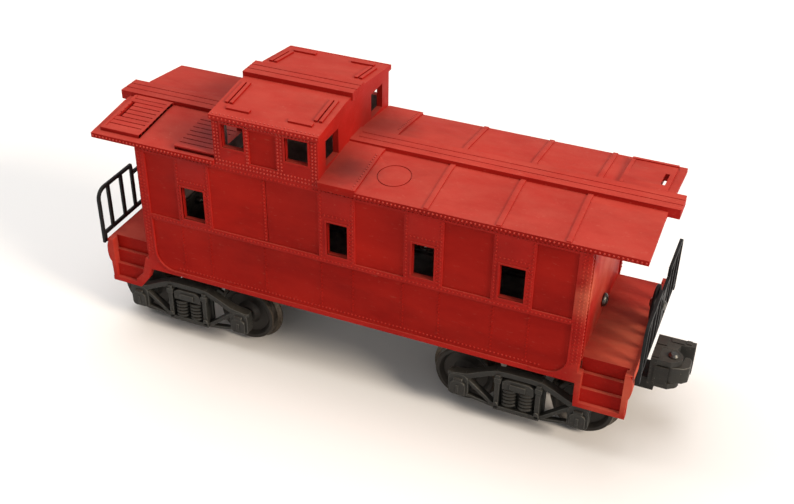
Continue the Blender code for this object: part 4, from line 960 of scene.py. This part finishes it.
    def add_frame(self, shell: Work, x: Span, z: Span, face: Span) -> None:
        """Adds a thin raised frame round one window.

        Args:
            shell: the moulding that it joins.
            x: the opening's span along the car.
            z: the opening's span in height.
            face: the frame's span across the car.
        """
        rim = 0.6
        for low, high in ((x[0] - rim, x[0]), (x[1], x[1] + rim)):
            shell.block((low, high), face, (z[0] - rim, z[1] + rim))
        for low, high in ((z[0] - rim, z[0]), (z[1], z[1] + rim)):
            shell.block((x[0] - 0.01, x[1] + 0.01), face, (low, high))

    def add_rims(self, shell: Work, face: Span) -> None:
        """Adds the slim raised rim that runs down each end of the skirt and turns under it."""
        reach = 71.9
        low = 28.5
        radius = 6.7
        for end in (-1, 1):
            turn = arc((reach - radius, low + radius), radius, 0, -90, 10)
            path = [(end * reach, self.belt + 0.6), *[(end * along, up) for along, up in turn]]
            path.append((end * (reach - radius - 5.0), low))
            shell.strap(path, 0.5, face)

    def add_corner_strips(self, shell: Work, end: int, side: int) -> None:
        """Adds the raised strips at one corner of the cupola roof.

        Args:
            shell: the moulding that they join.
            end: which end of the cupola, -1 or 1.
            side: which slope, -1 or 1.
        """
        edge_x = self.cupola[0] - 0.1 if end < 0 else self.cupola[1] + 0.1
        strip = self.slope_section(self.cupola_roof_at, side, 22.0, 23.6)
        start = edge_x - end * 3.5
        shell.prism(strip, "X", ordered(start, start - end * 8.0))
        leg = self.slope_section(self.cupola_roof_at, side, 8.6, 20.6)
        for setback in (1.5, 3.2):
            shell.prism(leg, "X", ordered(edge_x - end * setback, edge_x - end * (setback + 1.1)))

    def slope_section(
        self, height: Callable[[float], float], side: int, inner: float, outer: float, rise: float = 0.65
    ) -> list[Span]:
        """The outline, across the car, of a bar that lies on one roof slope.

        Args:
            height: gives the roof's height at a distance from the middle.
            side: which slope, -1 or 1.
            inner: the bar's edge nearest the middle.
            outer: its other edge.
            rise: how far it stands above the roof.

        Returns:
            The corners as (across, up).
        """
        low = [(side * across, height(across) - 0.4) for across in (inner, outer)]
        high = [(side * across, height(across) + rise) for across in (outer, inner)]
        return low + high

    def add_plank_ends(self, shell: Work) -> None:
        """Adds the battens that close the raised planking along its outer edge and across its ends."""
        for end, starts in ((-1, (74.0, 87.4)), (1, (74.0,))):
            edge = self.slope_section(self.roof_at, end, 24.3, 25.6, 1.3)
            shell.prism(edge, "X", ordered(end * 74.0, end * 88.5))
            across = self.slope_section(self.roof_at, end, 5.2, 25.5, 1.15)
            for start in starts:
                shell.prism(across, "X", ordered(end * start, end * (start + 1.1)))
        edge = self.slope_section(self.roof_at, -1, 25.0, 26.5, 1.4)
        shell.prism(edge, "X", (self.cupola[0] - 14.6, self.cupola[0] + 0.4))

    def paint_inside_light(self, shell: Work) -> None:
        """Paints the faces inside the moulding pale, as painted light."""
        inner_x = self.half_length - self.wall + 0.1
        inner_y = self.half_width - self.wall + 0.1
        for piece in shell.mesh.faces:
            middle = piece.calc_center_median()
            if abs(middle.x) < inner_x and abs(middle.y) < inner_y and middle.z < self.cupola_top + 0.1:
                in_cupola = self.cupola[0] + 1.9 < middle.x < self.cupola[1] - 1.9
                if in_cupola or middle.z < self.wall_top + 0.1:
                    piece.material_index = 1

    def paint_shade(self, shell: Work) -> None:
        """Paints shade on the sunk panels, the step risers and the eaves' edges, in the deeper red."""
        for piece in shell.mesh.faces:
            middle = piece.calc_center_median()
            across = abs(middle.y)
            sunk = self.half_width - 0.8 < across < self.half_width - 0.1
            low = middle.z < self.porch and across < self.half_width - 0.3
            riser = low and abs(middle.x) > self.half_length + 1.0
            if abs(piece.normal.y) > 0.9 and (sunk or riser or across > self.roof_half - 0.1):
                piece.material_index = 2

    def rivet_side(self, rivets: Work, side: int) -> None:
        """Adds one side wall's rivets."""
        face = side * self.half_width
        low_face = side * (self.half_width - self.panel_sink)
        out = (0.0, side, 0.0)
        pitch = self.rivet_pitch
        rivets.rivets((-71.0, face, self.belt + 0.95), (71.0, face, self.belt + 0.95), pitch, out)
        rivets.rivets((-74.2, face, self.wall_top - 0.9), (74.2, face, self.wall_top - 0.9), pitch, out)
        rivets.rivets((-63.0, low_face, 30.1), (63.0, low_face, 30.1), pitch, out)
        for low, high in self.bays:
            above = self.window_top + 2.3
            rivets.rivets((low + 0.75, face, 50.6), (low + 0.75, face, 72.9), pitch, out)
            rivets.rivets((high - 0.75, face, 50.6), (high - 0.75, face, 72.9), pitch, out)
            rivets.rivets((high - 1.75, face, 51.2), (high - 1.75, face, above - 1.2), pitch, out)
            rivets.rivets((low + 2.1, face, above), (high - 1.9, face, above), pitch, out)
        for end in (-1, 1):
            rivets.rivets((end * 73.1, face, 34.0), (end * 73.1, face, 73.0), pitch, out)
            rivets.rivets((end * 74.3, face, 34.6), (end * 74.3, face, 73.0), pitch, out)
        deep = side * (self.half_width - 0.45)
        rivets.rivets((self.panel_seam - 0.8, deep, 50.9), (self.panel_seam - 0.8, deep, 72.4), pitch, out)

    def rivet_skirt(self, rivets: Work, side: int) -> None:
        """Adds one side's upright rows of rivets below the belt."""
        face = side * (self.half_width - self.panel_sink)
        out = (0.0, side, 0.0)
        for column in self.skirt_columns:
            rivets.rivets((column, face, 31.6), (column, face, 47.0), self.rivet_pitch * 1.05, out)

    def rivet_cupola(self, rivets: Work, side: int) -> None:
        """Adds one side's rivets on the cupola."""
        face = side * self.half_width
        out = (0.0, side, 0.0)
        pitch = self.rivet_pitch * 0.92
        rear, front = self.cupola
        for along in (rear + 0.7, rear + 1.8, -34.0, -33.6, -23.3, -22.1, front - 1.9, front - 0.8):
            rivets.rivets((along, face, 78.2), (along, face, 90.0), pitch, out)
        for up in (75.7, 77.0):
            rivets.rivets((rear + 0.8, face, up), (front - 0.8, face, up), pitch, out)
        rivets.rivets((rear + 2.9, face, 90.5), (front - 2.9, face, 90.5), pitch, out)
        eave = side * (self.half_width + self.cupola_overhang)
        rivets.rivets((rear, eave, 91.85), (front, eave, 91.85), pitch * 1.15, out)
        edge = side * (self.half_width - 0.3)
        top = self.cupola_roof_at(edge)
        up = (0.0, side * self.cupola_slope, 1.0)
        rivets.rivets((rear + 0.6, edge, top), (front + 0.2, edge, top), pitch * 1.15, up)

    def rivet_roof(self, rivets: Work, side: int) -> None:
        """Adds one side's rivets on the main roof's eave and saddle."""
        edge = side * self.roof_half
        out = (0.0, side, 0.0)
        pitch = self.rivet_pitch
        rivets.rivets((-90.2, edge, 75.8), (-46.6, edge, 75.8), pitch, out)
        rivets.rivets((self.saddle_end, edge, 75.8), (90.2, edge, 75.8), pitch, out)
        along = self.saddle_end - 1.0
        start = (along, side * 9.0, self.roof_at(9.0) + self.saddle_height)
        end = (along, side * 27.0, self.roof_at(27.0) + self.saddle_height)
        rivets.rivets(start, end, pitch, (0.0, side * self.roof_slope, 1.0))

    def rivet_ends(self, rivets: Work) -> None:
        """Adds the rivets down the corners of both end walls."""
        for end in (-1, 1):
            face = end * (self.half_length + 0.25)
            for side in (-1, 1):
                across = side * 26.25
                rivets.rivets((face, across, 36.2), (face, across, 73.6), self.rivet_pitch, (end, 0.0, 0.0))


# ---------------------------------------------------------------- railings and brake wheel


@dataclass
class EndRailing:
    """A stamped end railing with the soft edges that blanking and barrel finishing leave."""

    node: str
    rounding: float = 0.28

    def build(self) -> None:
        """Builds the railing."""
        work = Work()
        work.copied(self.node)
        dressed(f"{self.node}_stamping", work, "car", (Look.RAILING,), (self.node,), bevel=self.rounding)


@dataclass
class BrakeWheel:
    """The hand brake's wheel: a round rim, four dished spokes and a stepped hub."""

    rim_radius: float = 0.72
    spoke_radius: float = 0.42
    hub_radius: float = 1.9
    bore: float = 1.2
    spokes: int = 4

    def build(self) -> None:
        """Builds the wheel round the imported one's own axis."""
        low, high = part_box("brake_wheel")
        centre = CAR.centre_of("brake_wheel")
        radius = (high.z - low.z) / 2 / MM - self.rim_radius
        work = Work()
        back = (high.x - CAR.origin.x) / MM
        depth = back - self.rim_radius - 0.1
        ring = [(depth, centre.y + radius * cos, centre.z + radius * sin) for cos, sin in around(36)]
        work.tube(ring, self.rim_radius, 10, closed=True)
        for index in range(self.spokes):
            angle = 2 * math.pi * (index + 0.25) / self.spokes
            path = []
            for share in (0.26, 0.5, 0.75, 1.0):
                reach = radius * share
                dish = 0.35 * math.sin(math.pi * share)
                across = centre.y + reach * math.cos(angle)
                path.append((depth - dish, across, centre.z + reach * math.sin(angle)))
            work.tube(path, self.spoke_radius, 8)
        front = (low.x - CAR.origin.x) / MM
        profile = [(front, self.bore), (front, self.hub_radius - 0.3), (front + 0.4, self.hub_radius)]
        profile += [(back, self.hub_radius), (back, self.bore)]
        work.turned(profile, "X", (0.0, centre.y, centre.z), 24, bored=True)
        dressed("brake_wheel_casting", work, "brake_wheel", (Look.RAILING,), ("brake_wheel",))
        recoated("brake_wheel_pin", Look.STEEL)


# ---------------------------------------------------------------- underframe, screws and lamp


@dataclass
class Underframe:
    """The stamped floor with its ribs and tabs, and the two slotted screws that hold the body to it."""

    rounding: float = 0.2
    slot_width: float = 0.55
    slot_depth: float = 0.7

    def build(self) -> None:
        """Builds the floor and both screws."""
        floor = Work()
        floor.copied("underframe")
        looks = (Look.FLOOR_STEEL,)
        dressed("underframe_stamping", floor, "car", looks, ("underframe",), bevel=self.rounding)
        for node, end in (("coupler_end_screw", 1), ("plain_end_screw", -1)):
            self.build_screw(node, end)

    def build_screw(self, node: str, end: int) -> None:
        """Builds one domed, slotted screw on its packed axis.

        Args:
            node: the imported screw.
            end: the end of the car that it faces, -1 or 1.
        """
        low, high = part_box(node)
        centre = CAR.centre_of(node)
        radius = (high.z - low.z) / 2 / MM
        tip = ((low.x if end > 0 else high.x) - CAR.origin.x) / MM
        crown = ((high.x if end > 0 else low.x) - CAR.origin.x) / MM
        seat = crown - end * 1.55
        profile = [(tip, 0.7), (tip + end * 0.6, 1.2), (seat, 1.2), (seat, radius)]
        profile.append((seat + end * 0.25, radius))
        for degrees in (20, 40, 60, 78):
            angle = math.radians(degrees)
            profile.append((seat + end * (0.25 + 1.25 * math.sin(angle)), radius * math.cos(angle)))
        work = Work()
        work.turned(profile, "X", (0.0, centre.y, centre.z), 28)
        slot = Work()
        across = (centre.y - self.slot_width / 2, centre.y + self.slot_width / 2)
        slot.block(ordered(crown - end * self.slot_depth, crown + end), across, (centre.z - 4, centre.z + 4))
        turn = Matrix.Rotation(math.radians(20), 4, "X")
        slot.moved(Matrix.Translation(centre) @ turn @ Matrix.Translation(-centre))
        work.cut(slot)
        dressed(f"{node}_domed", work, "car", (Look.STEEL,), (node,), bevel=0.08)


@dataclass
class CabinLamp:
    """The lamp inside the cabin: bracket, socket, cap with its rolled bayonet collar, and glass."""

    collar: float = 0.3

    def build(self) -> None:
        """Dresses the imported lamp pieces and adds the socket's rolled rim."""
        recoated("lamp_bracket", Look.STEEL)
        for node in ("lamp_socket", "lamp_base", "lamp_contact"):
            recoated(node, Look.BRASS)
        recoated("lamp_glass", Look.GLASS)
        low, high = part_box("lamp_socket")
        centre = CAR.centre_of("lamp_socket")
        radius = (high.z - low.z) / 2 / MM
        mouth = (low.x - CAR.origin.x) / MM
        start = mouth + self.collar
        ring = [(start, centre.y + radius * cos, centre.z + radius * sin) for cos, sin in around(28)]
        rim = Work()
        rim.tube(ring, self.collar, 8, closed=True)
        dressed("lamp_socket_rim", rim, "car", (Look.BRASS,))


# ---------------------------------------------------------------- trucks


@dataclass
class Truck:
    """A die-cast four-wheel truck with arch bar sides, twin coil springs and lidded journal boxes."""

    prefix: str
    end: int
    wheelbase: float = 39.5
    inner: float = 21.6
    spring_radius: float = 2.05
    spring_wire: float = 0.52
    spring_turns: int = 5
    spring_span: Span = (8.6, 15.4)
    swivel: Matrix = field(init=False)

    def __post_init__(self) -> None:
        """Works out where the truck stands and which way it faces."""
        pivot = CAR.centre_of(f"{self.prefix}_pivot_clip")
        turn = Matrix.Rotation(0.0 if self.end > 0 else math.pi, 4, "Z")
        self.swivel = Matrix.Translation((pivot.x, 0.0, 0.0)) @ turn

    def build(self) -> None:
        """Builds the truck's pieces."""
        for side, hand in ((-1, "right"), (1, "left")):
            self.build_side(side, hand)
        bolster = Work()
        bolster.copied(f"{self.prefix}_bolster")
        dressed(
            f"{self.prefix}_bolster_casting",
            bolster,
            self.prefix,
            (Look.CASTING, Look.CASTING_EDGE),
            (f"{self.prefix}_bolster",),
            bevel=0.3,
        )
        for node in ("inner_axle", "outer_axle", "pivot_stud", "pivot_clip"):
            recoated(f"{self.prefix}_{node}", Look.STEEL)
        for place in ("inner", "outer"):
            for hand in ("left", "right"):
                self.build_wheel(f"{self.prefix}_{place}_{hand}_wheel")

    def out(self, side: int, near: float, far: float) -> Span:
        """The span across the truck between two distances out from one side frame's back."""
        return ordered(side * (self.inner + near), side * (self.inner + far))

    def build_side(self, side: int, hand: str) -> None:
        """Builds one side frame in the truck's frame, then stands it in the car.

        Args:
            side: -1 or 1, the side of the truck's own Y axis.
            hand: left or right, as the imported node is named.
        """
        axle = self.wheelbase / 2
        work = Work()
        proud = self.out(side, 0.4, 4.1)
        arch = [(-axle - 3.4, 15.4), (-axle + 3.0, 16.5), (-11.0, 19.4), (-7.6, 20.8), (-4.0, 21.2)]
        arch += [(4.0, 21.2), (7.6, 20.8), (11.0, 19.4), (axle - 3.0, 16.5), (axle + 3.4, 15.4)]
        work.strap(arch, 1.9, self.out(side, 0.5, 3.6))
        under = [(-axle - 2.0, 14.6), (-axle + 3.4, 14.2), (-8.6, 8.0), (-6.8, 7.3), (6.8, 7.3), (8.6, 8.0)]
        under += [(axle - 3.4, 14.2), (axle + 2.0, 14.6)]
        work.strap(under, 1.3, self.out(side, 1.0, 3.4))
        tie = [(-axle - 1.6, 8.5), (-axle + 2.6, 8.4), (-8.4, 6.9)]
        tie += [(8.4, 6.9), (axle - 2.6, 8.4), (axle + 1.6, 8.5)]
        work.strap(tie, 1.0, self.out(side, 1.4, 3.2))
        back = [(-8.4, 7.0), (8.4, 7.0), (8.4, 20.4), (5.0, 21.2), (-5.0, 21.2), (-8.4, 20.4)]
        work.side(back, self.out(side, 0.0, 1.3))
        for end in (-1, 1):
            work.block(ordered(end * 5.9, end * 7.5), proud, (7.2, 20.6))
            work.block(ordered(end * 5.5, end * 7.9), self.out(side, 0.4, 4.3), (17.6, 19.4))
            self.add_journal(work, end * axle, side)
            self.add_bolt_heads(work, end, side)
        work.block((-7.6, 7.6), proud, (6.5, 8.1))
        crown = [(-5.2, 15.6), (5.2, 15.6), (5.2, 18.6), (3.4, 19.6), (-3.4, 19.6), (-5.2, 18.6)]
        work.side(crown, self.out(side, 0.3, 4.0))
        work.block((-2.6, 2.6), self.out(side, 3.2, 4.5), (16.4, 18.4))
        work.moved(self.swivel)
        name = f"{self.prefix}_side_frame_{hand}"
        looks = (Look.CASTING, Look.CASTING_EDGE)
        dressed(f"{name}_casting", work, self.prefix, looks, (name,), bevel=0.18)
        springs = Work()
        for along in (-2.75, 2.75):
            self.add_spring(springs, along, side)
        springs.moved(self.swivel)
        dressed(f"{name}_springs", springs, self.prefix, (Look.CASTING,))

    def add_journal(self, work: Work, middle: float, side: int) -> None:
        """Adds one journal box with its lid, hinge and blind end.

        Args:
            work: the shapes that it joins.
            middle: its axle's distance along the truck.
            side: the side of the truck that it is on, -1 or 1.
        """
        outline = [*arc((middle - 2.2, 9.1), 1.2, 180, 270, 4), *arc((middle + 2.2, 9.1), 1.2, 270, 360, 4)]
        outline += [*arc((middle + 1.2, 14.2), 2.2, 0, 90, 5), *arc((middle - 1.2, 14.2), 2.2, 90, 180, 5)]
        work.side(outline, self.out(side, 0.0, 3.7))
        cover = [*arc((middle - 1.6, 9.4), 1.0, 180, 270, 4), *arc((middle + 1.6, 9.4), 1.0, 270, 360, 4)]
        cover += [*arc((middle + 1.0, 12.2), 1.6, 0, 90, 5), *arc((middle - 1.0, 12.2), 1.6, 90, 180, 5)]
        work.side(cover, self.out(side, 3.5, 4.4))
        hinge = [(middle - 1.5, 0.75), (middle + 1.5, 0.75)]
        work.turned(hinge, "X", (0.0, side * (self.inner + 3.75), 14.3), 12)
        work.block((middle - 0.5, middle + 0.5), self.out(side, 3.5, 4.7), (9.6, 12.4))

    def add_bolt_heads(self, work: Work, end: int, side: int) -> None:
        """Adds the nuts and bolt ends cast on one half of a side frame.

        Args:
            work: the shapes that they join.
            end: which half, -1 or 1.
            side: the side of the truck that they are on, -1 or 1.
        """
        axle = self.wheelbase / 2
        for reach, up in ((6.7, 21.9), (axle - 3.0, 17.4), (axle + 3.0, 16.5)):
            along = end * reach
            work.block((along - 0.8, along + 0.8), self.out(side, 1.6, 3.2), (up - 1.2, up))
        bolt = [(side * (self.inner + 3.0), 0.8), (side * (self.inner + 4.55), 0.8)]
        work.turned(bolt, "Y", (end * 6.7, 0.0, 9.2), 6)

    def add_spring(self, work: Work, along: float, side: int) -> None:
        """Adds one coil spring as a round wire wound between the spring plank and the bolster.

        Args:
            work: the shapes that it joins.
            along: its axis's distance along the truck.
            side: the side of the truck that it stands on, -1 or 1.
        """
        low, high = self.spring_span
        steps = self.spring_turns * 14
        across = side * (self.inner + 2.75)
        flat = 0.62
        path = []
        for step in range(steps + 1):
            angle = 2 * math.pi * self.spring_turns * step / steps
            x = along + self.spring_radius * math.cos(angle)
            y = across + self.spring_radius * flat * math.sin(angle)
            path.append((x, y, low + (high - low) * step / steps))
        work.tube(path, self.spring_wire, 7)

    def build_wheel(self, node: str) -> None:
        """Builds one flanged wheel on its packed axis, dished on the outside."""
        low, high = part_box(node)
        centre = CAR.centre_of(node)
        side = 1 if centre.y > 0 else -1
        back = min(abs(low.y), abs(high.y)) / MM
        face = max(abs(low.y), abs(high.y)) / MM
        flange = (high.z - low.z) / 2 / MM
        tread = flange - 1.5
        bore = 1.55
        profile = [
            (back, bore),
            (back, flange - 1.5),
            (back + 0.2, flange - 0.35),
            (back + 0.6, flange),
            (back + 1.0, flange - 0.15),
            (back + 1.4, flange - 0.9),
            (back + 1.9, tread + 0.1),
            (back + 2.6, tread),
            (face - 0.5, tread - 0.15),
            (face, tread - 0.5),
            (face, tread - 1.6),
            (face - 0.5, tread - 2.1),
            (face - 1.5, tread - 2.7),
            (face - 1.6, 4.4),
            (face - 0.9, 3.6),
            (face - 0.2, 3.2),
            (face, 2.9),
            (face, bore),
        ]
        looks = [0] * 2 + [1] * 7 + [0] * 9
        outline = [(side * along, radius) for along, radius in profile]
        work = Work()
        work.turned(outline, "Y", (centre.x, 0.0, centre.z), 56, bored=True, looks=looks)
        dressed(f"{node}_casting", work, node, (Look.WHEEL_FACE, Look.WHEEL_TREAD), (node,), smooth=28)


@dataclass
class Coupler:
    """The knuckle coupler on the front truck, its armature plate and their pins."""

    rounding: float = 0.35

    def build(self) -> None:
        """Builds the head and the knuckle and dresses the steel pieces."""
        head = Work()
        head.copied("coupler_head")
        self.add_relief(head)
        looks = (Look.CASTING, Look.CASTING_EDGE)
        dressed("coupler_head_casting", head, "front_truck", looks, ("coupler_head",), bevel=self.rounding)
        knuckle = Work()
        knuckle.copied("knuckle")
        dressed("knuckle_casting", knuckle, "knuckle", looks, ("knuckle",), bevel=self.rounding)
        for node in ("knuckle_pin", "armature_plate", "armature_pin"):
            recoated(node, Look.STEEL)

    def add_relief(self, head: Work) -> None:
        """Adds the raised pads and the stepped lip cast on the head."""
        low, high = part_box("coupler_head")
        top = high.z / MM
        outer = (high.x - CAR.origin.x) / MM
        half = high.y / MM
        pads = (
            ((-11.6, -8.6), (1.2, half - 0.6), (top - 0.6, top + 0.35)),
            ((-7.6, -3.4), (half - 2.6, half - 0.5), (top - 0.6, top + 0.3)),
            ((-11.8, -9.6), (0.8 - half, -0.4), (top - 0.6, top + 0.3)),
            ((-3.6, -0.2), (half - 0.3, half + 0.25), (19.2, 25.2)),
            ((-10.5, -6.0), (-half - 0.2, 0.3 - half), (19.0, 25.0)),
            ((-3.0, -1.4), (half * 0.7, half - 0.1), (top - 0.6, top + 0.3)),
        )
        for (start, end), across, up in pads:
            head.block((outer + start, outer + end), across, up)
        for up in (19.4, 21.2, 23.0, 24.8):
            head.block((outer - 0.3, outer + 0.05), (half * 0.66, half - 0.3), (up - 0.35, up + 0.35))


@dataclass
class Pickup:
    """The roller pickup under the rear truck."""

    def build(self) -> None:
        """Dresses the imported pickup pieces."""
        recoated("pickup_plate", Look.FIBRE)
        recoated("pickup_arm", Look.STEEL)
        recoated("pickup_roller_pin", Look.STEEL)
        recoated("pickup_roller", Look.BRASS)


# ---------------------------------------------------------------- studio


@dataclass
class Studio:
    """A pale floor, soft light and the camera."""

    camera_place: Point = (123.5, -292.1, 253.3)
    camera_heading: float = 0.385
    camera_dip: float = 0.597
    camera_roll: float = 0.017
    lens: float = 51.80
    floor_half: float = 3.0
    floor_colour: str = "#e6e3df"
    world_colour: str = "#f4f6fa"
    world_strength: float = 0.39

    def build(self) -> None:
        """Makes the floor, the lights and the camera."""
        bpy.context.scene.view_settings.view_transform = "Standard"
        self.add_floor()
        self.add_world()
        self.add_light("key_softbox", (2.0, -0.5, 1.15), 0.7, 60.0, "#fff0de")
        self.add_light("overhead_softbox", (-0.25, 0.3, 1.7), 1.5, 25.0, "#fafcff")
        self.add_light("far_softbox", (-1.6, -0.1, 1.3), 0.9, 10.0, "#fff6ec")
        self.add_camera()

    def add_floor(self) -> None:
        """Lays the plain floor just under the wheels."""
        half = self.floor_half
        mesh = bpy.data.meshes.new("studio_floor")
        corners = [(-half, -half, 0.0), (half, -half, 0.0), (half, half, 0.0), (-half, half, 0.0)]
        mesh.from_pydata(corners, [], [(0, 1, 2, 3)])
        floor = bpy.data.objects.new("studio_floor", mesh)
        bpy.context.scene.collection.objects.link(floor)
        paper = bpy.data.materials.new("matt_background_paper")
        paper.use_nodes = True
        shader = paper.node_tree.nodes["Principled BSDF"]
        shader.inputs["Base Color"].default_value = linear(self.floor_colour)
        shader.inputs["Roughness"].default_value = 0.9
        mesh.materials.append(paper)

    def add_world(self) -> None:
        """Fills the room with even pale light."""
        world = bpy.data.worlds.new("pale_room")
        world.use_nodes = True
        background = world.node_tree.nodes["Background"]
        background.inputs["Color"].default_value = linear(self.world_colour)
        background.inputs["Strength"].default_value = self.world_strength
        bpy.context.scene.world = world

    def add_light(self, name: str, place: Point, size: float, power: float, colour: str) -> None:
        """Hangs one square soft light that faces the car.

        Args:
            name: the light's name.
            place: where it hangs, in metres.
            size: its side in metres.
            power: its power in watts.
            colour: its sRGB hex colour.
        """
        data = bpy.data.lights.new(name, "AREA")
        data.size = size
        data.energy = power
        data.color = linear(colour)[:3]
        lamp = bpy.data.objects.new(name, data)
        lamp.location = place
        lamp.rotation_euler = Vector(place).to_track_quat("Z", "Y").to_euler()
        bpy.context.scene.collection.objects.link(lamp)

    def add_camera(self) -> None:
        """Sets the camera up in the car frame."""
        data = bpy.data.cameras.new("camera")
        data.lens = self.lens
        data.clip_end = 20.0
        camera = bpy.data.objects.new("camera", data)
        camera.matrix_world = (
            Matrix.Translation(Vector(self.camera_place) * MM + CAR.origin)
            @ Matrix.Rotation(self.camera_heading, 4, "Z")
            @ Matrix.Rotation(math.pi / 2 - self.camera_dip, 4, "X")
            @ Matrix.Rotation(self.camera_roll, 4, "Z")
        )
        bpy.context.scene.collection.objects.link(camera)
        bpy.context.scene.camera = camera


def main() -> None:
    """Builds the caboose piece by piece, then its room."""
    logging.basicConfig(level=logging.INFO, format="%(name)s: %(message)s")
    CarBody().build()
    EndRailing("coupler_end_railing").build()
    EndRailing("plain_end_railing").build()
    BrakeWheel().build()
    Underframe().build()
    CabinLamp().build()
    Truck("front_truck", 1).build()
    Truck("rear_truck", -1).build()
    Coupler().build()
    Pickup().build()
    Studio().build()


if __name__ == "__main__":
    main()
